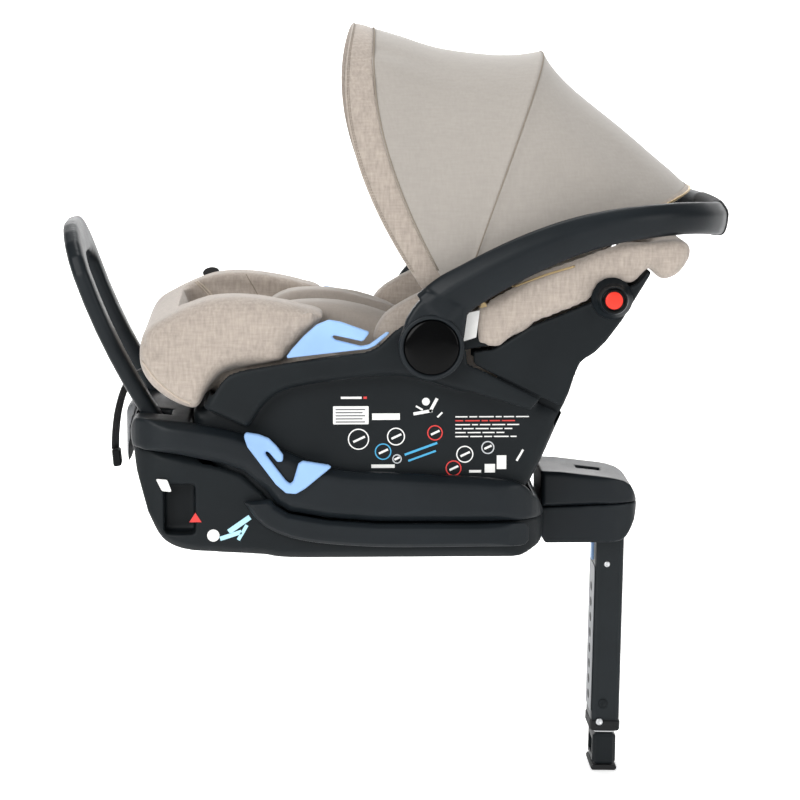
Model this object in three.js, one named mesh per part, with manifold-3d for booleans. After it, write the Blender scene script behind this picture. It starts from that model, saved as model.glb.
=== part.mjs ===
// Infant car seat: a lift-off carrier with folding canopy and carry handle, on a base with an
// anti-rebound bar and a telescopic load leg. Millimetres, +Z up, the foot end towards -X, the head
// end towards +X, the child's left towards -Y. The origin is the centre of the base's flat underside.
import * as THREE from 'three';
import { mergeVertices } from 'three/addons/utils/BufferGeometryUtils.js';
import Module from 'manifold-3d';

const wasm = await Module();
wasm.setup();
const group = new THREE.Group();

// ---- driving dimensions -------------------------------------------------------------------------
const GAP = 0.3;                       // between pieces that touch
const WIDE_CORNER = 18;                // corner radius from which an outline gets finer steps
const SIDES = { left: -1, right: 1 };  // the child's left is -Y

const BASE_HALF = 184;                 // half the width over the base's rails
const POCKET_HALF = 165;               // half the width of the tray that takes the carrier
const TUB_HALF = 160;                  // half the width of the carrier's tub
const BAND_HALF = 192;                 // half the width over the carrier's upper band
const BACK_HALF = 151;                 // half the width of the backrest shell where it slides
const BACK_WIDE = 186;                 // half the width of the backrest shell at its rim
const WALL = 4;                        // moulded shell thickness

const HUB = { x: 80, z: 252, r: 37 };  // handle pivot, which is also the recline pivot
const SLIDE_R = 173.5;                 // radius of the backrest's sliding wall about the hub
const HANDLE_Y = 213;                  // centre plane of a handle arm
const HANDLE_THICK = 22;
const BUTTON_R = 31;

const CANOPY = { x: 95, z: 293 };      // canopy pivot
const FABRIC = 3;                      // canopy cloth with its lining

const BAR_HALF = 98;                   // half the distance between the bar's leg centres
const LEG = { x: 303, z: 18, wide: 66, deep: 34.5 };  // load leg pivot and outer tube section
const LEG_LEAN = THREE.MathUtils.degToRad(1.2);     // the leg's foot stands slightly forward

// ---- colours ------------------------------------------------------------------------------------
const paint = (color, roughness, metalness = 0) =>
  new THREE.MeshStandardMaterial({ color, roughness, metalness });
const BLACK = paint(0x26292c, 0.5);
const GLOSS = paint(0x0c0d0e, 0.12);
const GREY = paint(0x54585c, 0.5);
const BLUE = paint(0x9dbce2, 0.45);
const RED = paint(0xe8331f, 0.35);
const CANVAS = paint(0xb5aea4, 0.9);
const BEIGE = paint(0xb3a496, 0.92);
const SOFT = paint(0x988b7c, 0.92);
const STEEL = paint(0x9a9ca0, 0.35, 1);
const PAINTED = paint(0x1c1e20, 0.45, 0.2);
const WEBBING = paint(0x17181a, 0.85);
const RUBBER = paint(0x1d1d1e, 0.8);
const WHITE = paint(0xf0f0ee, 0.6);
const BRASS = paint(0xb08a4a, 0.35, 1);

// ---- solids -------------------------------------------------------------------------------------
// A closed geometry becomes a solid that can be cut and joined.
function solid(geometry) {
  const bare = geometry.clone();
  bare.deleteAttribute('normal');
  bare.deleteAttribute('uv');
  const merged = mergeVertices(bare, 1e-4);
  return new wasm.Manifold(new wasm.Mesh({
    numProp: 3,
    vertProperties: Float32Array.from(merged.attributes.position.array),
    triVerts: Uint32Array.from(merged.index.array),
  }));
}

function cut(body, ...tools) {
  return tools.reduce((left, tool) => left.subtract(tool), body);
}

function join(body, ...others) {
  return others.reduce((whole, other) => whole.add(other), body);
}

function add(name, shape, material) {
  const { vertProperties, triVerts } = shape.getMesh();
  const geometry = new THREE.BufferGeometry();
  geometry.setAttribute('position', new THREE.BufferAttribute(vertProperties, 3));
  geometry.setIndex(new THREE.BufferAttribute(triVerts, 1));
  geometry.computeVertexNormals();
  const mesh = new THREE.Mesh(geometry, material);
  mesh.name = name;
  group.add(mesh);
}

// The points of a flat outline from corners [a, b] or [a, b, radius], where a radius rounds that
// corner in `fine` steps, or in twice as many when it is wide.
function outline(corners, fine) {
  return corners.flatMap(([a, b, radius = 0], i) => {
    const here = new THREE.Vector2(a, b);
    if (radius === 0) return [here];
    const before = new THREE.Vector2(...corners.at(i - 1));
    const after = new THREE.Vector2(...corners[(i + 1) % corners.length]);
    const reach = (to) => Math.min(radius, 0.45 * to.distanceTo(here));
    const start = before.clone().sub(here).setLength(reach(before)).add(here);
    const end = after.clone().sub(here).setLength(reach(after)).add(here);
    const curve = new THREE.QuadraticBezierCurve(start, here, end);
    return curve.getPoints(radius >= WIDE_CORNER ? 2 * fine : fine);
  });
}

// The outline moved inwards by `distance`; corners keep their place in the list.
function inset(points, distance) {
  return points.map((here, i) => {
    const normal = (from, to) => new THREE.Vector2(from.y - to.y, to.x - from.x).normalize();
    const first = normal(points.at(i - 1), here);
    const second = normal(here, points[(i + 1) % points.length]);
    const middle = first.clone().add(second).normalize();
    const reach = distance / Math.max(middle.dot(first), 0.6);
    return here.clone().addScaledVector(middle, reach);
  });
}

// A plate of an outline, `width` thick, with edges of size `edge`; curves get `fine` steps.
function plate(corners, width, edge = 0, fine = 2) {
  const points = outline(corners, fine);
  if (THREE.ShapeUtils.isClockWise(points)) points.reverse();
  // Wide edges are rounded in two steps, narrow ones are a plain chamfer.
  const bevel = edge >= 10 ? [0, 45, 90] : edge > 0 ? [0, 90] : [90];
  const levels = bevel.map((degrees) => {
    const turn = THREE.MathUtils.degToRad(degrees);
    return [edge * (1 - Math.sin(turn)), -width / 2 + edge * (1 - Math.cos(turn))];
  });
  const all = [...levels, ...levels.map(([inward, z]) => [inward, -z]).reverse()];
  const vertices = all.flatMap(([inward, z]) =>
    inset(points, inward).flatMap((p) => [p.x, p.y, z]));
  const count = points.length;
  const faces = [];
  for (let level = 0; level < all.length - 1; level++) {
    for (let i = 0; i < count; i++) {
      const a = level * count + i;
      const b = level * count + (i + 1) % count;
      faces.push(a, b, b + count, a, b + count, a + count);
    }
  }
  const top = (all.length - 1) * count;
  for (const [i, j, k] of THREE.ShapeUtils.triangulateShape(points, [])) {
    faces.push(k, j, i, top + i, top + j, top + k);
  }
  const geometry = new THREE.BufferGeometry();
  geometry.setAttribute('position', new THREE.Float32BufferAttribute(vertices, 3));
  geometry.setIndex(faces);
  return geometry;
}

// Plates standing in the side view (x, z), centred on y; in plan (x, y); and in front view (y, z).
const sidePlate = (corners, y, width, edge, fine) =>
  solid(plate(corners, width, edge, fine).rotateX(Math.PI / 2).translate(0, y, 0));
const planPlate = (corners, z, height, edge, fine) =>
  solid(plate(corners, height, edge, fine).translate(0, 0, z));
const frontPlate = (corners, x, depth, edge, fine) =>
  solid(plate(corners, depth, edge, fine).rotateX(Math.PI / 2).rotateZ(Math.PI / 2)
    .translate(x, 0, 0));

const box = (x0, x1, y0, y1, z0, z1) =>
  solid(new THREE.BoxGeometry(x1 - x0, y1 - y0, z1 - z0)
    .translate((x0 + x1) / 2, (y0 + y1) / 2, (z0 + z1) / 2));

// A round bar along Y between y0 and y1.
const pin = (x, z, r, y0, y1, sides = 24) =>
  solid(new THREE.CylinderGeometry(r, r, Math.abs(y1 - y0), sides)
    .translate(x, (y0 + y1) / 2, z));

// A closed skin through rings of equally many points, with both ends capped.
function loft(rings) {
  const count = rings[0].length;
  const middle = (ring) => ring.reduce((sum, p) => sum.add(p), new THREE.Vector3())
    .divideScalar(count);
  const points = [...rings.flat(), middle(rings[0]), middle(rings.at(-1))];
  const faces = [];
  for (let r = 0; r < rings.length - 1; r++) {
    for (let i = 0; i < count; i++) {
      const a = r * count + i;
      const b = r * count + (i + 1) % count;
      faces.push(a, b, b + count, a, b + count, a + count);
    }
  }
  const last = (rings.length - 1) * count;
  for (let i = 0; i < count; i++) {
    faces.push((i + 1) % count, i, points.length - 2);
    faces.push(last + i, last + (i + 1) % count, points.length - 1);
  }
  const geometry = new THREE.BufferGeometry();
  geometry.setAttribute('position',
    new THREE.Float32BufferAttribute(points.flatMap((p) => p.toArray()), 3));
  geometry.setIndex(faces);
  const shape = solid(geometry);
  return shape.volume() > 0 ? shape : solid(flipped(geometry));
}

function flipped(geometry) {
  const index = [...geometry.index.array];
  for (let i = 0; i < index.length; i += 3) {
    [index[i], index[i + 1]] = [index[i + 1], index[i]];
  }
  geometry.setIndex(index);
  return geometry;
}

// A ring of `sides` points round `centre`, in the plane of `wide` and `high`; `power` 2 is an
// ellipse, and more makes it squarer.
function ring(centre, wide, high, halfWide, halfHigh, sides = 12, power = 3) {
  return Array.from({ length: sides }, (_, i) => {
    const turn = (i + 0.5) * 2 * Math.PI / sides;
    const round = (v) => Math.sign(v) * Math.abs(v) ** (2 / power);
    return centre.clone()
      .addScaledVector(wide, halfWide * round(Math.cos(turn)))
      .addScaledVector(high, halfHigh * round(Math.sin(turn)));
  });
}

// ---- base ---------------------------------------------------------------------------------------
const BASE_SEAM = [[-262, 131], [-212, 124], [-160, 113], [-134, 104], [-109, 82], [-98, 67],
  [-82, 57], [-38, 49], [20, 44.5], [137, 43.7], [215, 46]];

// The rounded rectangle that every part of the base stays inside, seen from above.
function basePlan(half, z0, z1) {
  return planPlate([[-268, -half, 60], [216, -half, 70], [216, half, 70], [-268, half, 60]],
    (z0 + z1) / 2, z1 - z0, 0, 5);
}

function base() {
  const rail = [[-266, 149, 8], [-260, 166, 6], [-246, 166, 6], [-200, 161], [-134, 149, 30],
    [-34, 104, 40], [46, 101], [137, 96, 30], [186, 91, 26], [208, 66, 20], [216, 47]];
  const above = BASE_SEAM.map(([x, z]) => [x, z + GAP]);
  // The tray that the carrier stands in, open at the top.
  const tray = [[-205, 400], [-196, 146], [-176, 86, 30], [-130, 50, 20], [-80, 42],
    [158, 42, 20], [200, 68, 20], [218, 118], [262, 400]];
  const pocket = sidePlate(tray, 0, 2 * POCKET_HALF, 3);
  const upper = sidePlate([...rail.toReversed(), ...above], 0, 2 * BASE_HALF, 9);
  const shell = cut(upper, pocket);
  const inPlan = basePlan(BASE_HALF, -10, 200);
  const feet = Object.values(SIDES).map((side) =>
    box(-258, -218, ...order(side * 74, side * 122), 132, 180));
  add('base_upper_shell', cut(shell.intersect(inPlan), ...feet), BLACK);

  // The lower shell: a narrower keel, with a channel along its underside for the folded leg.
  const below = BASE_SEAM.map(([x, z]) => [x, z - GAP]);
  const keel = sidePlate([...below, [215, 30, 8], [214, 13, 8], [200, 7, 8], [186, 0, 8],
    [-90, 0, 20], [-110, 4], [-204, 9.5, 18], [-230, 22, 18], [-245, 55], [-258, 101]],
    0, 2 * (BASE_HALF - 16), 9);
  const channel = box(-125, 260, -39, 39, -20, 37);
  const hollow = sidePlate(tray, 0, 2 * (POCKET_HALF - 2), 3);
  const strapPocket = cut(box(-226, -190, -200, 200, 30, 88), box(-226, -190, -140, 140, 0, 100));
  add('base_lower_shell',
    cut(keel.intersect(basePlan(BASE_HALF - 16, -10, 200)), channel, hollow, strapPocket), BLACK);

  // Panels that bulge over the lower shell's sides.
  for (const [name, side] of Object.entries(SIDES)) {
    const panel = sidePlate([[-104, 72], [-98, 65], [-82, 55], [-38, 47], [20, 42.5], [137, 41.7],
      [212, 43.5, 4], [213, 28, 10], [208, 17, 6], [196, 15.7], [18, 15, 40], [-70, 22, 40],
      [-114, 40, 20], [-134, 69]], side * 176.2, 15.6, 5);
    add(`base_side_panel_${name}`, panel.intersect(basePlan(BASE_HALF, -10, 200)), BLACK);
    add(`anchor_strap_tab_${name}`, sidePlate([[-235, 95, 2], [-222, 94, 2], [-217, 80, 2],
      [-228, 81, 2]], side * 170, 3), WHITE);
  }

  add('latch_bar_front', pin(-145, 71, 3.5, -162.6, 162.6, 12), STEEL);
  add('latch_bar_rear', pin(173.5, 57, 3, -162.6, 162.6, 12), STEEL);

  // The rounded cover on the foot end, in front of the bar's feet.
  const cap = planPlate([[-255, -130, 10], [-268, -120, 30], [-277, 0, 80], [-268, 120, 30],
    [-255, 130, 10]], 131, 62, 6, 4);
  const behind = sidePlate([[-270.5, 50], [-266.4, 149, 8], [-260, 167], [-200, 240], [0, 240],
    [0, 50]], 0, 400, 0);
  add('base_end_cap', cut(cap, behind), GREY);
}

function order(a, b) {
  return a < b ? [a, b] : [b, a];
}

// Blue guides for the vehicle belt: one pair on the base's rails, one pair on the carrier's rim.
function beltHooks() {
  const onBase = [[-133, 152, 3], [-110, 148, 6], [-100, 141, 6], [-86, 122, 4], [-93, 114, 4],
    [-107, 131, 4], [-110, 128, 2], [-83, 92, 4], [-78, 92, 3], [-70, 119, 4], [-34, 113, 3],
    [-34, 110], [-68, 82, 6], [-79, 78, 6], [-92, 84, 8], [-133, 139, 6]];
  const onCarrier = [[-86, 237, 3], [-72, 256, 10], [-44, 281, 8], [-28, 281, 6], [11, 267, 2],
    [3, 256, 2], [-33, 264, 3], [-31, 259, 3], [6, 250, 5], [31, 268, 2], [34, 266, 2], [13, 248, 5]];
  for (const [name, side] of Object.entries(SIDES)) {
    add(`base_belt_hook_${name}`, sidePlate(onBase, side * (BASE_HALF + 4.3), 8, 2, 1), BLUE);
    add(`carrier_belt_hook_${name}`, sidePlate(onCarrier, side * (BAND_HALF + 3.3), 6, 1.5, 1), BLUE);
  }
}

// ---- anti-rebound bar ---------------------------------------------------------------------------
function reboundBar() {
  const lean = new THREE.QuadraticBezierCurve3(new THREE.Vector3(-232, 0, 146),
    new THREE.Vector3(-300, 0, 248), new THREE.Vector3(-333, 0, 361));
  const corner = 66;
  const upright = 206;
  const steps = [];
  for (let i = 0; i <= 6; i++) steps.push([-BAR_HALF, upright * i / 6]);
  for (let i = 1; i <= 5; i++) {
    const turn = Math.PI / 2 * i / 5;
    steps.push([-BAR_HALF + corner * (1 - Math.cos(turn)) ** 0.9,
      upright + (246 - upright) * Math.sin(turn)]);
  }
  const path = [...steps, ...steps.map(([y, s]) => [-y, s]).reverse()];
  const rings = path.map(([y, s], i) => {
    const t = s / 246;
    const centre = lean.getPoint(t).setY(y);
    const rise = lean.getTangent(t);
    const out = new THREE.Vector3(0, 1, 0).cross(rise);
    const [a, b] = [path[Math.max(i - 1, 0)], path[Math.min(i + 1, path.length - 1)]];
    const along = rise.clone().multiplyScalar(b[1] - a[1])
      .add(new THREE.Vector3(0, b[0] - a[0], 0)).normalize();
    return ring(centre, out, along.clone().cross(out), 10, 22, 12, 4);
  });
  add('anti_rebound_bar', loft(rings), BLACK);
}

// ---- tail and load leg --------------------------------------------------------------------------
function tail() {
  const top = [[216.5, 85], [240, 84], [306, 76, 12], [326, 68, 12], [333, 46], [216.5, 42]];
  const bottom = [[216.5, 41.4], [333, 45.4], [331, 24, 12], [318, 2, 8], [306, -1], [222, -1],
    [216.5, 8]];
  const plan = planPlate([[200, -66], [300, -66, 26], [334, -52, 24], [334, 52, 24],
    [300, 66, 26], [200, 66]], 40, 120, 0, 4);
  const slot = box(263, 292, -11, 11, 60, 100);
  const legRoom = join(box(150, 326.6, -38, 38, -30, 39), box(285, 326.6, -38, 38, 30, 41));
  const topCover = sidePlate(top, 0, 140, 8);
  add('tail_top_cover', cut(topCover.intersect(plan), slot), BLACK);
  add('tail_bottom_cover', cut(sidePlate(bottom, 0, 140, 4).intersect(plan), legRoom), BLACK);
  add('leg_indicator', box(264, 291, -10.5, 10.5, 60.3, 70), GREY);
  add('leg_pivot_pin', pin(LEG.x, LEG.z, 5, -37.7, 37.7, 20), STEEL);
}

// The leg hangs from its pivot; its own axis leans, so it is built upright and then turned.
function leanLeg(shape) {
  const degrees = THREE.MathUtils.radToDeg(LEG_LEAN);
  return shape.translate([-LEG.x, 0, -LEG.z]).rotate([0, degrees, 0])
    .translate([LEG.x, 0, LEG.z]);
}

function leg() {
  const { x, z, wide, deep } = LEG;
  const section = (w, d, r) => [[x - d / 2, -w / 2, r], [x + d / 2, -w / 2, r],
    [x + d / 2, w / 2, r], [x - d / 2, w / 2, r]];
  const tube = (w, d, wall, z0, z1) => cut(
    planPlate(section(w, d, 5), (z0 + z1) / 2, z1 - z0, 0),
    planPlate(section(w - 2 * wall, d - 2 * wall, 3), (z0 + z1) / 2, z1 - z0 + 2, 0));
  const holes = Array.from({ length: 8 }, (_, i) => box(x - deep, x, -6, 6, -204 + 19 * i,
    -194 + 19 * i));
  const outer = cut(tube(wide, deep, 2.5, -224, z + 15), pin(x, z, 5.4, -60, 60, 20), ...holes,
    box(x - deep, x, -9.5, 9.5, -32.5, -7.5));
  add('leg_outer_tube', leanLeg(outer), PAINTED);
  add('leg_release_button', leanLeg(box(x - deep / 2 - 2.5, x - deep / 2 + 6, -9, 9, -32, -8)),
    BLUE);
  add('leg_collar', leanLeg(cut(planPlate(section(wide + 5, deep + 2, 7), -230.8, 13, 1.5),
    planPlate(section(wide - 9, deep - 9, 3), -231, 30, 0))), RUBBER);
  add('leg_inner_tube', leanLeg(tube(wide - 10, deep - 10, 2, -240, -60)), STEEL);
  const foot = frontPlate([[-33, -279.2, 4], [33, -279.2, 4], [31, -240.3, 5], [-31, -240.3, 5]],
    x, 28, 4);
  const sole = frontPlate([[-36, -286, 3], [36, -286, 3], [35, -279.5], [-35, -279.5]], x, 31, 2);
  const pocket = frontPlate([[-21, -270, 4], [21, -270, 4], [21, -250, 4], [-21, -250, 4]], x, 50);
  const web = frontPlate([[-30, -277, 3], [30, -277, 3], [30, -243, 3], [-30, -243, 3]], x, 12);
  add('leg_foot', leanLeg(join(cut(foot, pocket), web)), BLACK);
  add('leg_foot_sole', leanLeg(sole), RUBBER);
}

// ---- carrier shell ------------------------------------------------------------------------------
function hubArc(radius, fromDeg, toDeg, steps) {
  return Array.from({ length: steps + 1 }, (_, i) => {
    const turn = THREE.MathUtils.degToRad(fromDeg + (toDeg - fromDeg) * i / steps);
    return [HUB.x + radius * Math.cos(turn), HUB.z + radius * Math.sin(turn)];
  });
}

function carrier() {
  const tub = sidePlate([[-176, 190], [-177, 176], [-192, 174, 4], [-190, 142], [-172, 112, 20],
    [-152, 88, 30], [-118, 54, 20], [-80, 48],
    [148, 48, 20], [184, 72, 10], [198, 89], [212, 117], [230, 158], [236, 171], [116, 222],
    [60, 262], [-120, 222]], 0, 2 * TUB_HALF, 12);
  // The band round the rim, which carries the belt guides and the handle's pivots.
  const band = sidePlate([[-178, 178], [-179, 181], [-168, 203, 8], [-155, 220, 8], [-138, 226],
    [-85, 235], [-31, 242], [15, 249, 10], [35, 270, 10], [58, 284, 10], [104, 284, 10],
    [122, 262, 10], [126, 232], [212, 190], [196, 171], [50, 217, 30], [-4, 213, 30],
    [-71, 204, 20], [-96, 196, 20], [-112, 182, 10], [-122, 166, 6], [-129, 156, 4]],
    0, 2 * BAND_HALF, 6);
  // The slots behind the band's rear ends, where the backrest's side walls swing.
  const slots = Object.values(SIDES).map((side) =>
    box(118, 230, ...order(side * (TUB_HALF + 0.6), side * (BAND_HALF - WALL)), 100, 300));
  const inTub = sidePlate([[-173, 500], [-170, 180], [-163, 132], [-146, 92, 26], [-114, 58, 18],
    [-80, 53], [146, 53, 18], [179, 76], [192, 94], [207, 118],
    ...hubArc(SLIDE_R + 1.2, -38, -25, 3), [262, 500]], 0, 2 * (TUB_HALF - WALL), 2);
  const inBand = sidePlate([[-171, 500], [-171, 182], [-161, 200, 8], [-148, 214, 8], [-130, 220],
    [-31, 236], [15, 240], [60, 224], [128, 210], [158, 207], [180, 500]], 0, 2 * (BAND_HALF - WALL), 2);
  const reclinePins = Object.values(SIDES).map((side) =>
    pin(HUB.x, HUB.z, 7, side * 176, side * (BAND_HALF - 1), 20));
  const shell = join(tub, cut(band, ...slots));
  add('carrier_shell', join(cut(shell, inTub, inBand), ...reclinePins), BLACK);

  for (const [name, side] of Object.entries(SIDES)) {
    const boss = join(pin(HUB.x, HUB.z, 24, side * (BAND_HALF + GAP), side * 199, 32),
      pin(HUB.x, HUB.z, 14, side * 198.5, side * 210, 24));
    add(`handle_pivot_${name}`, boss, BLACK);
  }
}

// ---- backrest shell -----------------------------------------------------------------------------
function backrest() {
  const rear = [[333, 332, 3], [322, 314], [300, 278], [282, 254], [262, 233, 10],
    ...hubArc(SLIDE_R, -10, -37, 5)];
  const inner = [[322, 500], [322, 336], [312, 316], [292, 282], [275, 258], [256, 236, 10],
    ...hubArc(SLIDE_R - WALL, -10, -40, 5)];
  const slider = sidePlate([...rear, [190, 182], [128, 234], [128, 243], [150, 245], [195, 273],
    [235, 288], [289, 311], [316, 321], [330, 336, 2]], 0, 2 * BACK_HALF, 3);
  const wings = sidePlate([[333, 332, 3], [322, 314], [300, 278], [282, 254], [262, 234, 10],
    [150, 240], [150, 245], [195, 273], [235, 288], [289, 311], [316, 321], [330, 336, 2]],
    0, 2 * BACK_WIDE, 3);
  const room = sidePlate([...inner, [196, 172], [100, 214], [60, 500]], 0,
    2 * (BACK_HALF - WALL), 2);
  const wingRoom = sidePlate([[326, 500], [326, 338], [316, 318], [296, 284], [278, 262, 10],
    [168, 247], [60, 247], [60, 500]], 0, 2 * (BACK_WIDE - WALL), 2);
  // The sides run on down behind the carrier's band.
  const walls = Object.values(SIDES).map((side) =>
    sidePlate([[128, 243, 2], [129, 228, 4], [212, 187, 4], [231, 179, 4], [241, 203], [251, 228],
      [262, 238], [150, 245]], side * (BACK_WIDE - WALL / 2), WALL));
  add('backrest_shell', join(cut(join(slider, wings), room, wingRoom), ...walls), BLACK);

  for (const [name, side] of Object.entries(SIDES)) {
    // A plate from the hub to the backrest, which also carries the canopy's pivot.
    const arm = cut(sidePlate([[62, 240, 12], [98, 240, 12], [126, 246], [149.5, 250],
      [149.5, 266, 4], [112, 302, 10], [92, 312, 12], [80, 300, 10], [64, 268, 12]],
      side * 183, 5, 1), pin(HUB.x, HUB.z, 7.4, -300, 300, 20));
    add(`backrest_arm_${name}`, arm, BLACK);
    add(`canopy_pin_${name}`, pin(CANOPY.x, CANOPY.z, 5, side * 160, side * 180.2, 20), BLACK);
    // The side-impact pod: a round stalk with a flared root and a disc on its end.
    const face = side * 214;
    const stalk = solid(new THREE.LatheGeometry(
      [[0, 0], [24, 0], [20, 5], [16.5, 11], [16.2, 25], [14.5, 27.5], [0, 27.5]]
        .map(([r, h]) => new THREE.Vector2(r, h)), 28)
      .rotateX(side < 0 ? Math.PI : 0).translate(287.5, side * (BACK_WIDE + GAP), 303.5));
    const recess = pin(287.5, 303.5, 10, face - side * 4, face + side * 4, 28);
    add(`side_pod_${name}`, cut(stalk, recess), BLACK);
    add(`side_pod_disc_${name}`, pin(287.5, 303.5, 9.6, face - side * 3.6, face - side * 0.6, 28),
      RED);
  }
  add('rear_belt_guide', sidePlate([[286.5, 253], [292, 249.5], [329, 306], [323.5, 309.6]],
    0, 130, 1.5), BLUE);
}

// ---- handle -------------------------------------------------------------------------------------
// Centre line of half the handle: [x, y, z, half height, half thickness], hub to mid-crossbar.
const HANDLE_LINE = [
  [84, 213, 290, 30, 11], [102, 213, 308, 27, 11], [124, 213, 322, 25, 11],
  [155, 212.5, 339, 24, 11], [195, 211, 358, 23, 11], [240, 208, 375, 21.5, 11],
  [285, 202, 386, 20, 11.5], [325, 192, 391, 19, 12], [360, 174, 393, 18.5, 12.5],
  [389, 148, 392, 18.5, 13], [409, 114, 389, 19, 12.5], [421, 74, 386, 19.5, 12],
  [427, 36, 384, 20, 12], [429, 0, 383, 20, 12]];

function handleRings(line, grow) {
  const half = line.map(([x, y, z, high, thick]) => ({ p: new THREE.Vector3(x, y, z), high, thick }));
  const other = half.slice(0, -1).map(({ p, high, thick }) =>
    ({ p: p.clone().setY(-p.y), high, thick })).reverse();
  const all = [...half, ...other];
  return all.map(({ p, high, thick }, i) => {
    const along = all[Math.min(i + 1, all.length - 1)].p.clone()
      .sub(all[Math.max(i - 1, 0)].p).normalize();
    const up = new THREE.Vector3(0, 0, 1).addScaledVector(along, -along.z).normalize();
    return ring(p, along.clone().cross(up), up, thick + grow, high + grow, 10, 3);
  });
}

function handle() {
  const gripHalf = 76;
  const whole = loft(handleRings(HANDLE_LINE, 0));
  const gripZone = box(380, 470, -gripHalf, gripHalf, 330, 440);
  const coreZone = box(380, 470, -gripHalf - GAP, gripHalf + GAP, 330, 440);
  const crossbar = HANDLE_LINE.slice(-5);
  let frame = join(cut(whole, coreZone), loft(handleRings(crossbar, -3.5)));
  for (const side of Object.values(SIDES)) {
    const hub = pin(HUB.x, HUB.z, HUB.r, side * 199.4, side * 222, 40);
    const neck = sidePlate([[44, 252], [50, 285, 14], [70, 310, 10], [96, 318], [122, 300],
      [117, 262]], side * HANDLE_Y, HANDLE_THICK - 4, 3);
    frame = join(frame, hub, neck);
  }
  for (const side of Object.values(SIDES)) {
    frame = cut(frame, pin(HUB.x, HUB.z, BUTTON_R + 0.5, side * 214, side * 230, 40),
      pin(HUB.x, HUB.z, 14.5, side * 190, side * 210.6, 24));
  }
  add('handle_frame', frame, BLACK);
  const sleeve = loft(handleRings(crossbar, 0.4)).intersect(gripZone);
  add('handle_grip', cut(sleeve, loft(handleRings(crossbar, -3.2))), RUBBER);
  for (const [name, side] of Object.entries(SIDES)) {
    add(`handle_button_${name}`, pin(HUB.x, HUB.z, BUTTON_R, side * 218.5, side * 224, 40), GLOSS);
  }
}

// ---- canopy -------------------------------------------------------------------------------------
// Each seam of the canopy is an arch. In side view it runs from its foot to its crown along a
// quadratic curve; seen along the seat it is a squared arch of half width `half`.
const SEAMS = {
  rim: { foot: [72, 312], bend: [-47, 486], crown: [-5, 613], half: 181, square: 2.7 },
  band: { foot: [101, 314], bend: [0, 488], crown: [20, 607], half: 181, square: 2.7 },
  dip: { foot: [108, 310], bend: [66, 464], crown: [99, 583], half: 180, square: 2.6 },
  dip2: { foot: [112, 310], bend: [128, 464], crown: [165, 575], half: 180, square: 2.6 },
  mid: { foot: [122, 322], bend: [171, 458], crown: [220, 577], half: 180, square: 2.6 },
  back: { foot: [128, 318], bend: [220, 430], crown: [252, 539], half: 181, square: 2.6 },
  back2: { foot: [134, 314], bend: [255, 385], crown: [322, 482], half: 182, square: 2.6 },
  hem: { foot: [140, 304], bend: [262, 372], crown: [394, 419], half: 181, square: 2.5 },
};

// `inward` moves the arch's sides in, and `below` lowers its crown, which is `inward` if not given.
function archPoint(seam, t, inward, below = inward) {
  const side = t < 0 ? -1 : 1;
  const rise = 1 - Math.abs(t);                     // 0 at the foot, 1 at the crown
  const angle = rise * Math.PI / 2;
  const up = Math.sin(angle) ** (2 / seam.square);
  const y = side * (seam.half - inward) * Math.cos(angle) ** (2 / seam.square);
  const mix = (k) => (1 - up) ** 2 * seam.foot[k] + 2 * up * (1 - up) * seam.bend[k]
    + up ** 2 * seam.crown[k];
  const point = new THREE.Vector3(mix(0), y, mix(1));
  const pull = new THREE.Vector3(CANOPY.x + 25 - point.x, 0, CANOPY.z - point.z);
  return point.addScaledVector(pull.normalize(), below * up);
}

// A cloth skin between seams: one ring per station along the arch, out along the outer face and
// back along the inner one.
function clothPanel(seams, under, thick, stations = 18) {
  const rings = [];
  for (let i = 0; i <= stations; i++) {
    const t = -1 + 2 * i / stations;
    rings.push([...seams.map((seam) => archPoint(seam, t, under)),
      ...seams.map((seam) => archPoint(seam, t, under + thick)).reverse()]);
  }
  return loft(rings);
}

function between(a, b, share) {
  const mix = (p, q) => p.map((v, k) => v + (q[k] - v) * share);
  return { foot: mix(a.foot, b.foot), bend: mix(a.bend, b.bend), crown: mix(a.crown, b.crown),
    half: a.half + (b.half - a.half) * share, square: a.square };
}

function bow(seam, inward, below, lugY) {
  const rings = [];
  const stations = 14;
  const at = (t) => archPoint(seam, t, inward, below);
  for (let i = 0; i <= stations; i++) {
    const t = -0.97 + 1.94 * i / stations;
    const along = at(t + 0.01).sub(at(t - 0.01)).normalize();
    const flat = new THREE.Vector3(1, 0, 0.2).addScaledVector(along, -along.x - 0.2 * along.z)
      .normalize();
    rings.push(ring(at(t), flat, along.clone().cross(flat), 4.5, 2, 6, 2));
  }
  let shape = loft(rings);
  for (const side of Object.values(SIDES)) {
    const foot = at(side * 0.97);
    const y = order(side * (lugY - 2.5), side * (lugY + 2.5));
    const lug = sidePlate([[CANOPY.x - 11, CANOPY.z - 9, 9], [CANOPY.x + 11, CANOPY.z - 9, 9],
      [foot.x + 8, foot.z + 10, 3], [foot.x - 8, foot.z + 10, 3]], (y[0] + y[1]) / 2, 5, 0.6);
    shape = join(shape, lug);
  }
  return cut(shape, pin(CANOPY.x, CANOPY.z, 5.4, -300, 300, 20));
}

function canopy() {
  const { rim, band, dip, dip2, mid, back, back2, hem } = SEAMS;
  const cuff = [rim, between(rim, band, 0.5), between(rim, band, 0.98)];
  add('canopy_rim_band', clothPanel(cuff, 0, 6, 22), BEIGE);
  add('canopy_front_panel', clothPanel([between(rim, band, 1.04), dip, dip2,
    between(dip2, mid, 0.97)], 0.5, FABRIC), CANVAS);
  add('canopy_rear_panel', clothPanel([between(dip2, mid, 1.0), back, back2, hem], 0.5, FABRIC),
    CANVAS);
  add('canopy_front_bow', bow(between(rim, band, 0.5), 10, 11, 171), BLACK);
  add('canopy_mid_bow', bow(between(dip2, mid, 0.95), 16, 8, 164.5), BLACK);
}

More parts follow.
